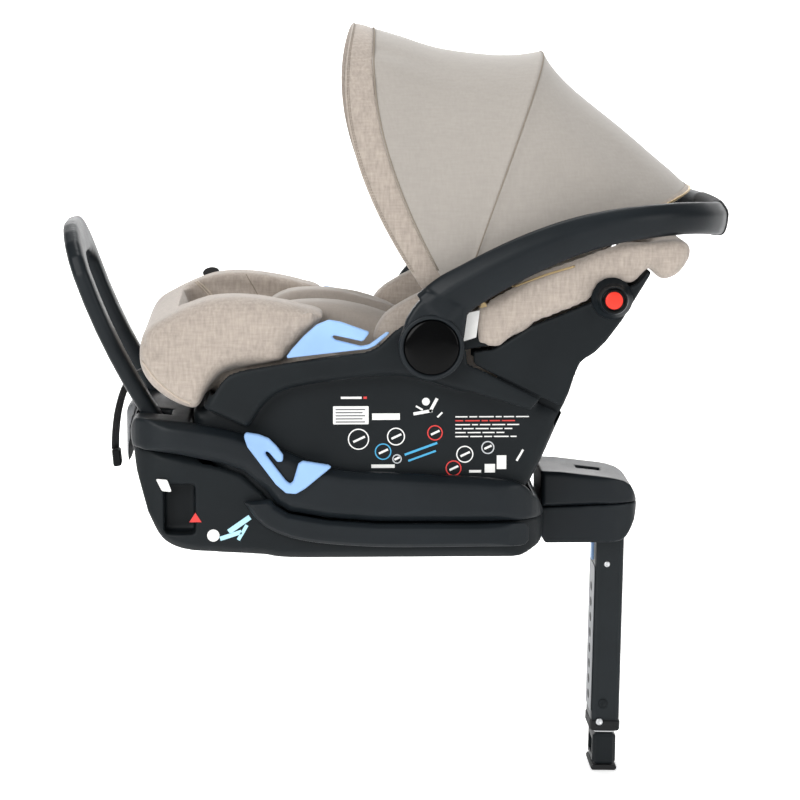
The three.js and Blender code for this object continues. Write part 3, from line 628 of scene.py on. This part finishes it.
def handle_rings(line, grow=0.0, count=28):
    """Rings of a bar whose outer face has a soft ridge above its middle."""
    other = [(x, -y, z, high, thick) for x, y, z, high, thick in line[-2::-1]]
    stations = curve_through(list(line) + other, 7)
    rings = []
    for i, (x, y, z, high, thick) in enumerate(stations):
        ahead = Vector(stations[min(i + 1, len(stations) - 1)][:3])
        behind = Vector(stations[max(i - 1, 0)][:3])
        along = (ahead - behind).normalized()
        up = (Vector((0, 0, 1)) - along * along.z).normalized()
        out = along.cross(up)
        ring = []
        for k in range(count):
            turn = 2 * math.pi * (k + 0.5) / count
            c, s = math.cos(turn), math.sin(turn)
            wide = math.copysign(abs(c) ** 0.55, c) * (thick + grow)
            level = math.copysign(abs(s) ** 0.72, s)
            if c < 0:                                   # the side that looks away from the seat
                above, under = max(level - 0.3, 0) / 0.7, max(0.3 - level, 0) / 1.3
                wide *= 1 - 0.55 * above ** 1.2 - 0.22 * under
            ring.append(Vector((x, y, z)) + out * wide + up * level * (high + grow))
        rings.append(ring)
    return rings


def lofted(rings):
    count = len(rings[0])
    vertices = [p for ring in rings for p in ring]
    faces = [(r * count + k, r * count + (k + 1) % count, (r + 1) * count + (k + 1) % count,
              (r + 1) * count + k) for r in range(len(rings) - 1) for k in range(count)]
    faces += [tuple(range(count))[::-1], tuple((len(rings) - 1) * count + k for k in range(count))]
    return vertices, faces


def handle_parts(m):
    """The arms as one loft, joined to the CAD's hubs, with the grip, the hub rims and their buttons."""
    frame_mesh = piece("handle_arms", *lofted(handle_rings(HANDLE_LINE)), m["satin"])
    hubs = copied("handle_hubs", ["handle_frame"], m["satin"])
    edit = bmesh.new()
    edit.from_mesh(hubs.data)
    cut = bmesh.ops.bisect_plane(edit, geom=[*edit.verts, *edit.edges, *edit.faces],
                                 plane_co=(0.108, 0, 0.30), plane_no=(0.45, 0, 0.9),
                                 clear_outer=True)
    edges = [e for e in cut["geom_cut"] if isinstance(e, bmesh.types.BMEdge)]
    bmesh.ops.contextual_create(edit, geom=edges)
    bmesh.ops.holes_fill(edit, edges=[e for e in edit.edges if e.is_boundary])
    edit.from_mesh(frame_mesh.data)
    edit.to_mesh(hubs.data)
    edit.free()
    bpy.data.objects.remove(frame_mesh)
    hubs.name = "handle_body"
    remeshed(hubs, 1.7, 5)
    placed(hubs, "handle", "black_plastic", "handle_frame")

    low, high, _ = at("handle_grip")
    sleeve = [ring for ring in handle_rings(HANDLE_LINE, 0.9)
              if low.y + 1 < ring[0].y < high.y - 1 and ring[0].x > CROSSBAR_X]
    grip = piece("handle_sleeve", *lofted(sleeve), m["rubber"])
    placed(grip, "handle", "rubber_grip", "handle_grip")
    for name, side in SIDES.items():
        low, high, middle = at(f"handle_button_{name}")
        face = max(abs(low.y), abs(high.y))
        disc_face = lathed(f"hub_disc_{name}", [
            (31, face - 5.5), (31, face - 1.4), (30.4, face - 0.5), (29.4, face - 0.1),
            (27, face + 0.35), (20, face + 0.75), (10, face + 1.0), (0.5, face + 1.1)],
            HUB_X, HUB_Z, side, m["gloss"], 96)
        placed(disc_face, f"handle_button_{name}", "gloss_black", f"handle_button_{name}")
        rim = lathed(f"hub_rim_{name}", [(36.6, face - 3.4), (37.2, face - 2.6), (37, face - 1.2),
                                         (35.8, face - 0.3), (33.6, face - 0.1), (32, face - 0.8),
                                         (31.7, face - 3.4)], HUB_X, HUB_Z, side, m["satin"], 96)
        placed(rim, "handle", "black_plastic")


# ---- canopy ---------------------------------------------------------------------------------------
CANOPY_FOOT = (120, 293)
CANOPY_HEART = (110, 340)
CANOPY_STATIONS = 150
# Each seam is an arch: foot x z, bend x z, crown x z, half width, squareness.
SEAMS = {
    "rim": (72, 312, -47, 486, -5, 613, 181, 2.7),
    "band": (101, 314, 0, 488, 20, 607, 181, 2.7),
    "dip": (108, 310, 66, 464, 99, 583, 180, 2.6),
    "dip2": (112, 310, 128, 464, 165, 575, 180, 2.6),
    "mid": (122, 322, 171, 458, 220, 577, 180, 2.6),
    "back": (128, 318, 220, 430, 252, 539, 181, 2.6),
    "back2": (134, 314, 255, 385, 322, 482, 182, 2.6),
    "hem": (140, 304, 262, 372, 394, 419, 181, 2.5),
}


def arch(seam, t, inward=0.0):
    """A point of a seam: t runs from -1 at the left foot over the crown to 1 at the right foot."""
    foot_x, foot_z, bend_x, bend_z, crown_x, crown_z, half, square = seam
    angle = (1 - abs(t)) * math.pi / 2
    up = math.sin(angle) ** (2 / square)
    y = math.copysign((half - inward) * max(math.cos(angle), 0) ** (2 / square), t)
    weights = ((1 - up) ** 2, 2 * up * (1 - up), up * up)
    x = weights[0] * foot_x + weights[1] * bend_x + weights[2] * crown_x
    z = weights[0] * foot_z + weights[1] * bend_z + weights[2] * crown_z
    pull = Vector((CANOPY_FOOT[0] - x, 0, CANOPY_FOOT[1] - z)).normalized()
    return Vector((x, y, z)) + pull * inward * up


def away(p):
    """The direction out of the canopy at a point of its cloth."""
    return Vector((p.x - CANOPY_HEART[0], p.y, p.z - CANOPY_HEART[1])).normalized()


def mixed(a, b, share):
    return tuple(p + (q - p) * share for p, q in zip(a, b))


def sheet_between(seams, wide, relief, inward=0.6):
    """Rows of points over a cloth panel; relief(u, t) lifts it along its outward direction."""
    blended = curve_through(seams, wide // (len(seams) - 1))
    rows = []
    for i in range(CANOPY_STATIONS + 1):
        t = -1 + 2 * i / CANOPY_STATIONS
        row = []
        for j, seam in enumerate(blended):
            u = j / (len(blended) - 1)
            p = arch(seam, t, inward)
            row.append(p + away(p) * relief(u, t))
        rows.append(row)
    return rows


def cloth_sheet(name, rows, thick, finish, lining):
    """A sheet with an outer face, a lining and a turned edge."""
    count = len(rows[0])
    outer = [p for row in rows for p in row]
    faces = [(i * count + j, i * count + j + 1, (i + 1) * count + j + 1, (i + 1) * count + j)
             for i in range(len(rows) - 1) for j in range(count - 1)]
    obj = piece(name, outer, faces, finish)
    centre = Vector((120, 0, 320))
    poly = obj.data.polygons[len(obj.data.polygons) // 2]
    if poly.normal.dot(poly.center / MM - centre) < 0:
        obj.data.flip_normals()
    obj.data.materials.append(lining)
    modify(obj, "SOLIDIFY", thickness=thick * MM, offset=-1, material_offset=1,
           material_offset_rim=0)
    settle(obj)
    obj.data.shade_smooth()
    return obj


def bump_at(value, centre, width):
    return math.exp(-((value - centre) / width) ** 2)


def front_relief(u, t):
    """Soft folds that run back from the cuff, and a rise over the middle bow."""
    folds = sum(depth * bump_at(abs(t), place, 0.05) * bump_at(u, 0.1, 0.32)
                for place, depth in ((0.30, -2.2), (0.40, 1.6), (0.52, -1.6), (0.72, 1.0)))
    return folds + 2.2 * bump_at(u, 1.0, 0.06) - 0.8 * bump_at(u, 0.0, 0.05)


def rear_relief(u, t):
    folds = sum(depth * bump_at(abs(t), place, 0.07) * bump_at(u, 0.66, 0.3)
                for place, depth in ((0.36, -2.0), (0.52, 2.4), (0.68, -2.0)))
    return folds + 2.2 * bump_at(u, 0.0, 0.06) + 1.0 * bump_at(u, 0.9, 0.06)


def cuff_rings():
    """The padded cuff on the canopy's front edge, as closed rings round its section."""
    rings = []
    rim, band = SEAMS["rim"], SEAMS["band"]
    puckers = (0.36, 0.47, 0.58, 0.69, 0.80, 0.90)
    for i in range(CANOPY_STATIONS + 1):
        t = -1 + 2 * i / CANOPY_STATIONS
        a, b = arch(rim, t), arch(band, t)
        out = away(a.lerp(b, 0.5))
        across = b - a
        out = (out - across * out.dot(across) / across.length_squared).normalized()
        ring = []
        for k in range(20):
            turn = 2 * math.pi * k / 20
            c, s = math.cos(turn), math.sin(turn)
            wide = 0.5 + 0.5 * math.copysign(abs(c) ** 0.8, c)
            pinch = sum(bump_at(abs(t), p, 0.011) for p in puckers) * max(wide - 0.25, 0)
            lift = (2.6 * s if s > 0 else 3.4 * s) - 2.6 - 1.3 * pinch * (s > 0)
            ring.append(a + across * wide + out * lift)
        rings.append(ring)
    return rings


def canopy_parts(m):
    rim, band, dip, dip2, mid, back, back2, hem = (SEAMS[k] for k in SEAMS)
    front_rows = sheet_between([mixed(rim, band, 0.97), mixed(band, dip, 0.4), dip, dip2,
                                mixed(dip2, mid, 0.97)], 36, front_relief)
    rear_rows = sheet_between([mixed(dip2, mid, 0.97), back, back2, hem], 36, rear_relief)
    front = cloth_sheet("canopy_front", front_rows, 1.6, m["canopy"], m["canopy"])
    rear = cloth_sheet("canopy_rear", rear_rows, 1.6, m["canopy"], m["canopy"])
    cuff = piece("canopy_cuff", *lofted(cuff_rings()), m["beige"])
    placed(cuff, "canopy_front", "melange_fabric", "canopy_rim_band")

    def seam_line(seam, lift, low=-0.985, high=0.985):
        made = []
        for i in range(121):
            t = low + (high - low) * i / 120
            p = arch(seam, t)
            made.append(p + away(p) * lift)
        return made

    # Dark tubes sunk into the seam between cuff and front panel and laid along the mid seam: painted
    # shade in the gaps.
    cuff_seam_shade = tubes("cuff_seam_shade", [seam_line(mixed(rim, band, 1.01), -0.6)], 0.9, m["thread_and_shade"])
    placed(cuff_seam_shade, "canopy_front")
    mid_seam_shade = tubes("mid_seam_shade", [seam_line(mixed(dip2, mid, 0.975), 1.5)], 0.7, m["thread_and_shade"])
    placed(mid_seam_shade, "canopy_mid")
    stitches = []
    for share in (0.06, 0.12):
        stitches += stitched(seam_line(mixed(rim, band, share), 0.0 if share > 0.1 else -0.7))
    edge = tubes("cuff_stitches", stitches, 0.32, m["thread_and_shade"], 5)
    placed(edge, "canopy_front")

    # The rear edge: a darker hem, then the zip that joins it to the backrest cover.
    edge_rows = sheet_between([mixed(back2, hem, 0.93), mixed(back2, hem, 0.97), hem], 12,
                              lambda u, t: 1.5)
    hem_band = cloth_sheet("canopy_hem", edge_rows, 1.2, m["beige"], m["beige"])
    zip_line = tubes("canopy_zip", [seam_line(mixed(back2, hem, 1.0), 0.6)], 1.5, m["brass"])
    for obj in (hem_band, zip_line):
        placed(obj, "backrest")
    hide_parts("canopy_front_panel")
    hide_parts("canopy_rear_panel")
    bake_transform(rear)
    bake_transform(front)


# ---- soft goods -----------------------------------------------------------------------------------
def stuffed(name, node, finish, voxel=5.0, slim=3.0, puff=3.5, grow=1.5, pressure=5.0):
    """Padding: the CAD solid, slimmed, blown up as cloth, and laid back over the solid's own size."""
    obj = remeshed(copied(name, [node], finish), voxel, 2)
    own, way = points_of(obj), normals_of(obj)
    put_points(obj, own + way * grow)
    put_points(obj, own - way * slim)
    moved = swell(obj, pressure) - own
    rise = (moved * way).sum(axis=1)
    lift = np.clip(rise - np.median(rise), -1, puff) + grow
    slide = np.clip(moved - way * rise[:, None], -2, 2)
    put_points(obj, own + way * lift[:, None] + slide)
    modify(obj, "SMOOTH", factor=0.5, iterations=3)
    modify(obj, "SUBSURF", levels=1, render_levels=1)
    settle(obj)
    obj.data.shade_smooth()
    return obj


def swell(obj, pressure, frames=20):
    """Blows a mesh up as cloth and returns where its points end."""
    cloth = obj.modifiers.new("cloth", "CLOTH")
    cloth.settings.use_pressure = True
    cloth.settings.uniform_pressure_force = pressure
    cloth.settings.effector_weights.gravity = 0
    cloth.settings.quality = 4
    cloth.point_cache.frame_start = 1
    cloth.point_cache.frame_end = frames
    for step in range(1, frames + 1):
        SCENE.frame_set(step)
    settle(obj)
    SCENE.frame_set(1)
    return points_of(obj)


def side_line(skin, outline, side, steps=8, proud=0.3):
    """A line on the face that looks away from the seat's middle."""
    return laid(skin, curve_through(outline, steps), side * RAY_START_Y, -side, proud)


def inner_line(skin, outline, side, steps=8, proud=0.3):
    """A line on the face that looks towards the seat's middle."""
    return laid(skin, curve_through(outline, steps), 0, side, proud)


def padding_parts(m):
    pad = stuffed("seat_padding", "seat_pad", m["beige"], 5.0)
    insert = stuffed("insert_padding", "infant_insert", m["insert"], 4.5)
    head = stuffed("head_padding", "head_support", m["insert"], 5.0)
    cover = stuffed("rim_padding", "backrest_cover", m["beige"], 4.5, slim=2.0, puff=1.8, grow=2.6)
    for obj, body, slot, node, fill in (
            (pad, "carrier", "melange_fabric", "seat_pad", 0.7),
            (insert, "carrier", "insert_fabric", "infant_insert", 0.8),
            (head, "backrest", "insert_fabric", "head_support", 0.7),
            (cover, "backrest", "melange_fabric", "backrest_cover", 0.6)):
        placed(obj, body, slot, node)
    pad_seams(m, pad)
    cover_trim(m, cover)


def pad_seams(m, pad):
    """Piping and seams of the main pad, and the small tab on its far rim."""
    outside = {"piping": [[(-249, 232), (-232, 210), (-211, 192), (-194, 183)]],
               "folds": [[(-232, 240), (-228, 252), (-216, 264), (-202, 271)],
                         [(-249, 254), (-243, 245), (-238, 240)]], "seams": []}
    inside = {"piping": [[(-200 + shift, 296), (-186 + shift, 285), (-170 + shift, 264)]
                         for shift in (0, 4)],
              "folds": [], "seams": [[(-134, 303), (-124, 286), (-114, 268)]]}

    def lay(kind):
        skin = skin_of(pad)
        lines = [side_line(skin, line, side) for line in outside[kind] for side in SIDES.values()]
        lines += [inner_line(skin, line, side) for line in inside[kind] for side in SIDES.values()]
        return [line for line in lines if len(line) > 3]

    for kind, depth, wide in (("piping", 1.4, 4.5), ("seams", 1.2, 4), ("folds", 3.0, 6)):
        for line in lay(kind):
            crease(pad, line, depth, wide)
    placed(tubes("pad_piping", lay("piping"), 1.2, m["piping"]), "carrier")
    placed(tubes("pad_seams", lay("seams"), 0.55, m["thread_and_shade"]), "carrier")
    oval = [(-178 + 10 * x - 2.6 * z, 301 + 2.6 * x + 6 * z) for x, z in disc(0, 0, 1, 24)]
    placed(slabs("pad_tab", [oval], 170, 1.4, m["webbing"]), "carrier")


def cover_trim(m, cover):
    """The zip along the rim cover, its pull, and the sewn-in label beside the hub."""
    skin = skin_of(cover)
    zip_route = [(132, 292), (150, 303), (178, 318), (208, 330), (244, 341)]
    lines = [side_line(skin, zip_route, side, 12, 0.5) for side in SIDES.values()]
    placed(tubes("cover_zip", [line for line in lines if len(line) > 3], 1.3, m["brass"]), "backrest")
    for name, side in SIDES.items():
        pull = rounded([(137, 300, 2), (143, 300, 2), (148, 274, 3), (142, 272, 3)])
        placed(slabs(f"zip_pull_{name}", [pull], side * 192.6, 1.6, m["brass"]), "backrest")
        label = rounded([(118, 287, 1), (136, 291, 1), (132, 260, 1), (116, 255, 1)])
        placed(slabs(f"cover_label_{name}", [label], side * 192.4, 0.8, m["white"]), "backrest")


# ---- prints, the leg's details and the strap's loose end -----------------------------------------
def printing(m):
    """Plain shapes where the carrier and the base carry their printed signs."""
    prints = {"white": [], "signal": [], "sky": [], "pale": []}
    # Upper left of the tub: a small mark and the certificate label.
    certificate = rounded([(-31, 177, 1), (10, 177, 1), (10, 156, 1), (-31, 156, 1)], 2)
    prints["white"] += [bar(-22, 185.5, 24, 2.6), certificate, bar(14, 161, 32, 7.5)]
    prints["signal"] += [bar(4, 185.5, 4, 2.6)]
    # Round signs, each a ring with a plain bar inside.
    for x, z, r, tone in ((-1.7, 138.6, 12.3, "white"), (41.5, 141.5, 10.4, "white"),
                          (26.6, 124, 9.6, "sky"), (42.7, 115.4, 5.5, "pale"),
                          (121, 120.5, 9.9, "white"), (147.6, 128.2, 7.6, "pale"),
                          (108, 104.2, 9.2, "signal"), (86.5, 145.6, 9, "signal")):
        prints[tone].append(ring_outline(x, z, r, 1.3))
        prints["white"].append(bar(x - r * 0.45, z - r * 0.35, r * 1.2, 2.4, 25))
    # The seat sign with its arrows.
    prints["white"] += [bar(62, 166, 22, 3.5, 10), bar(82, 169, 18, 3.5, 62), bar(64, 176, 9, 2, -30),
                        disc(76, 182, 4.5), bar(90, 163, 8, 2, 45)]
    # Lines of small bars in place of text.
    words = (14, 9, 17, 7, 12, 15)
    for row in range(6):
        start = 110
        tone = "signal" if row == 1 else "white"
        for length in words[row:] + words[:row]:
            if start + length < 196 - 3 * row:
                prints[tone].append(bar(start, 163.5 - 4.6 * row, length, 1.3))
            start += length + 2.2
    prints["white"] += [bar(13, 105, 27, 4), bar(126, 99, 14, 3), bar(144, 99, 12, 10),
                        bar(158, 103, 11, 16), bar(182, 112, 15, 2.4, 60)]
    prints["sky"] += [bar(52, 119, 40, 2.6, 20), bar(56, 112, 34, 2.2, 20)]
    for tone, outlines in prints.items():
        placed(slabs(f"carrier_print_{tone}", outlines, TUB_PRINT_Y, 0.7, m[tone]), "carrier")
    label_bars = [bar(-28, 172.5 - 3.6 * k, 34 - 3 * (k % 2), 1.3) for k in range(5)]
    placed(slabs("label_bars", label_bars, TUB_PRINT_Y - 0.5, 0.3, m["ink"]), "carrier")

    base = {"signal": [[(-197, 44), (-183, 44), (-190, 55)]], "white": [disc(-169.5, 28.3, 7.1)],
            "ice": [bar(-161, 22, 26, 5, 18), bar(-150, 30, 30, 6, 35), bar(-139, 22, 20, 4, 60)]}
    for tone, outlines in base.items():
        placed(slabs(f"base_print_{tone}", outlines, BASE_PRINT_Y, 0.7, m[tone]), "base")


def ring_outline(x, z, r, wide, count=28):
    """A ring as one outline that runs round and back, open by a hair at the right."""
    turns = [2 * math.pi * (k + 0.02) / count for k in range(count)] + [2 * math.pi * 0.999]
    outer = [(x + r * math.cos(a), z + r * math.sin(a)) for a in turns]
    inner = [(x + (r - wide) * math.cos(a), z + (r - wide) * math.sin(a)) for a in reversed(turns)]
    return outer + inner


LEG_X, LEG_Z, LEG_DEEP = 303, 18, 34.5
LEG_LEAN = math.radians(1.2)


def leaned(points):
    """Points of an upright leg, turned about its pivot to the leg's own lean."""
    c, s = math.cos(LEG_LEAN), math.sin(LEG_LEAN)
    return [(LEG_X + (x - LEG_X) * c + (z - LEG_Z) * s, y, LEG_Z - (x - LEG_X) * s + (z - LEG_Z) * c)
            for x, y, z in points]


def leg_details(m):
    """The leg's track, whose pale grey paints the light falling on the leg's front, with dark discs
    that paint the shade in its holes, and the pin, the screw and the mark on its near side.
    """
    front = LEG_X - LEG_DEEP / 2
    outline = rounded([(-31, -214, 4), (31, -214, 4), (31, -36, 4), (-31, -36, 4)])
    thick = 0.8
    vertices = leaned([(front - t, y, z) for t in (0, thick) for y, z in outline])
    track = piece("leg_track_painted_lit", vertices, prism_faces(len(outline)), m["track"], smooth=False)
    placed(track, "leg")
    # Dark discs laid on the track in place of cut holes: painted shade inside the holes.
    vertices, faces, corners = [], [], 20
    for k in range(8):
        faces.append(tuple(range(len(vertices), len(vertices) + corners)))
        vertices += leaned([(front - thick - 0.2, y * 1.9, -199 + 19 * k + z)
                            for y, z in disc(0, 0, 5.6, corners)])
    holes = piece("leg_hole_shade", vertices, faces, m["dark"], smooth=False)
    placed(holes, "leg")
    for name, x, z, r, half, finish in (("leg_screw", 296, -226, 4.2, 35.4, "steel"),
                                        ("leg_pin", 300, -33, 3.6, 33, "steel"),
                                        ("leg_mark", 300, -204, 6, 33, "black")):
        px, _, pz = leaned([(x, 0, z)])[0]
        placed(lathed(name, [(r, half - 1), (r, half + 0.7), (r * 0.8, half + 1.1),
                             (r * 0.5, half + 1.1), (r * 0.4, half + 0.5), (0.2, half + 0.5)],
                      px, pz, -1, m[finish], 24), "leg")


def strap_parts(m):
    """The loose end of the harness adjuster, a flat strap that hangs over the foot end."""
    route = [(-236, 203), (-243, 203), (-250, 202.5), (-257, 201), (-263.5, 198), (-269, 193.5),
             (-273.5, 187.5), (-277, 180.5), (-280, 173), (-282.6, 165), (-284.8, 156.5),
             (-286.6, 148), (-288, 138.5), (-289, 129), (-289.7, 119), (-290, 106)]
    wide, thick = 19, 2.4
    line = curve_through(route, 3)
    rings = []
    for i, (x, z) in enumerate(line):
        ahead, behind = line[min(i + 1, len(line) - 1)], line[max(i - 1, 0)]
        along = Vector((ahead[0] - behind[0], ahead[1] - behind[1])).normalized()
        flat = Vector((-along.y, 0, along.x))
        share = min(max((i / (len(line) - 1) - 0.2) / 0.3, 0), 1)
        twist = math.radians(22) * share * share * (3 - 2 * share)
        across = Vector((0, math.cos(twist), 0)) + flat * math.sin(twist)
        out = flat * math.cos(twist) - Vector((0, math.sin(twist), 0))
        rings.append([Vector((x, 0, z)) + across * y * wide / 2 + out * h * thick / 2
                      for y, h in ((-1, -0.5), (-0.9, -1), (0.9, -1), (1, -0.5),
                                   (1, 0.5), (0.9, 1), (-0.9, 1), (-1, 0.5))])
    strap = piece("adjuster_webbing", *lofted(rings), m["webbing"])
    placed(strap, "carrier", "webbing", "adjuster_strap")


# ---- studio ---------------------------------------------------------------------------------------
def studio():
    """White paper that curves up far behind the seat, with a lamp of its own, and three soft lamps."""
    floor_z = CAD_BOX[0].z
    reach, front, bend, radius = 9, -6, 4.4, 1.2
    profile = [(front, floor_z), (bend, floor_z)]
    for k in range(1, 13):
        turn = math.pi / 2 * k / 12
        profile.append((bend + radius * math.sin(turn), floor_z + radius * (1 - math.cos(turn))))
    profile.append((bend + radius, floor_z + 5))
    vertices = [(x, y, z) for y, z in profile for x in (-reach, reach)]
    faces = [(2 * i, 2 * i + 1, 2 * i + 3, 2 * i + 2) for i in range(len(profile) - 1)]
    mesh = bpy.data.meshes.new("floor")
    mesh.from_pydata(vertices, [], faces)
    mesh.shade_smooth()
    floor = bpy.data.objects.new("floor", mesh)
    paper = Shader("floor_paper", (0.93, 0.93, 0.93), 0.8, Emission_Color=(1, 1, 1, 1),
                   Emission_Strength=0.45)
    paper.shade(paper.spread(paper.noise(3), 0.995, 1.005))
    mesh.materials.append(paper.material)
    SCENE.collection.objects.link(floor)

    world = bpy.data.worlds.new("studio")
    world.use_nodes = True
    background = world.node_tree.nodes["Background"].inputs
    background["Color"].default_value = (1, 1, 1, 1)
    background["Strength"].default_value = 0.35
    SCENE.world = world
    SCENE.view_settings.view_transform = "Standard"
    seat = Vector((0.05, 0, 0.15))
    for name, place, aim, size, watts in (("top", (0.0, 0.2, 3.0), seat, 1.3, 36),
                                          ("front", (-1.5, -3.0, 1.5), seat, 2.2, 84),
                                          ("fill", (2.4, -2.2, 1.0), seat, 1.8, 26),
                                          ("paper", (0, 3.0, 3.4), Vector((0, 4.8, 0.2)), 3.0, 190)):
        data = bpy.data.lights.new(name, "AREA")
        data.size = size
        data.energy = watts
        lamp = bpy.data.objects.new(name, data)
        lamp.location = place
        lamp.rotation_mode = "QUATERNION"
        lamp.rotation_quaternion = (aim - Vector(place)).to_track_quat("-Z", "Y")
        SCENE.collection.objects.link(lamp)


def main():
    camera()
    finishes = materials()
    strap_parts(finishes)
    base_parts(finishes)
    carrier_parts(finishes)
    kept_parts(finishes)
    handle_parts(finishes)
    canopy_parts(finishes)
    padding_parts(finishes)
    printing(finishes)
    leg_details(finishes)
    studio()


main()
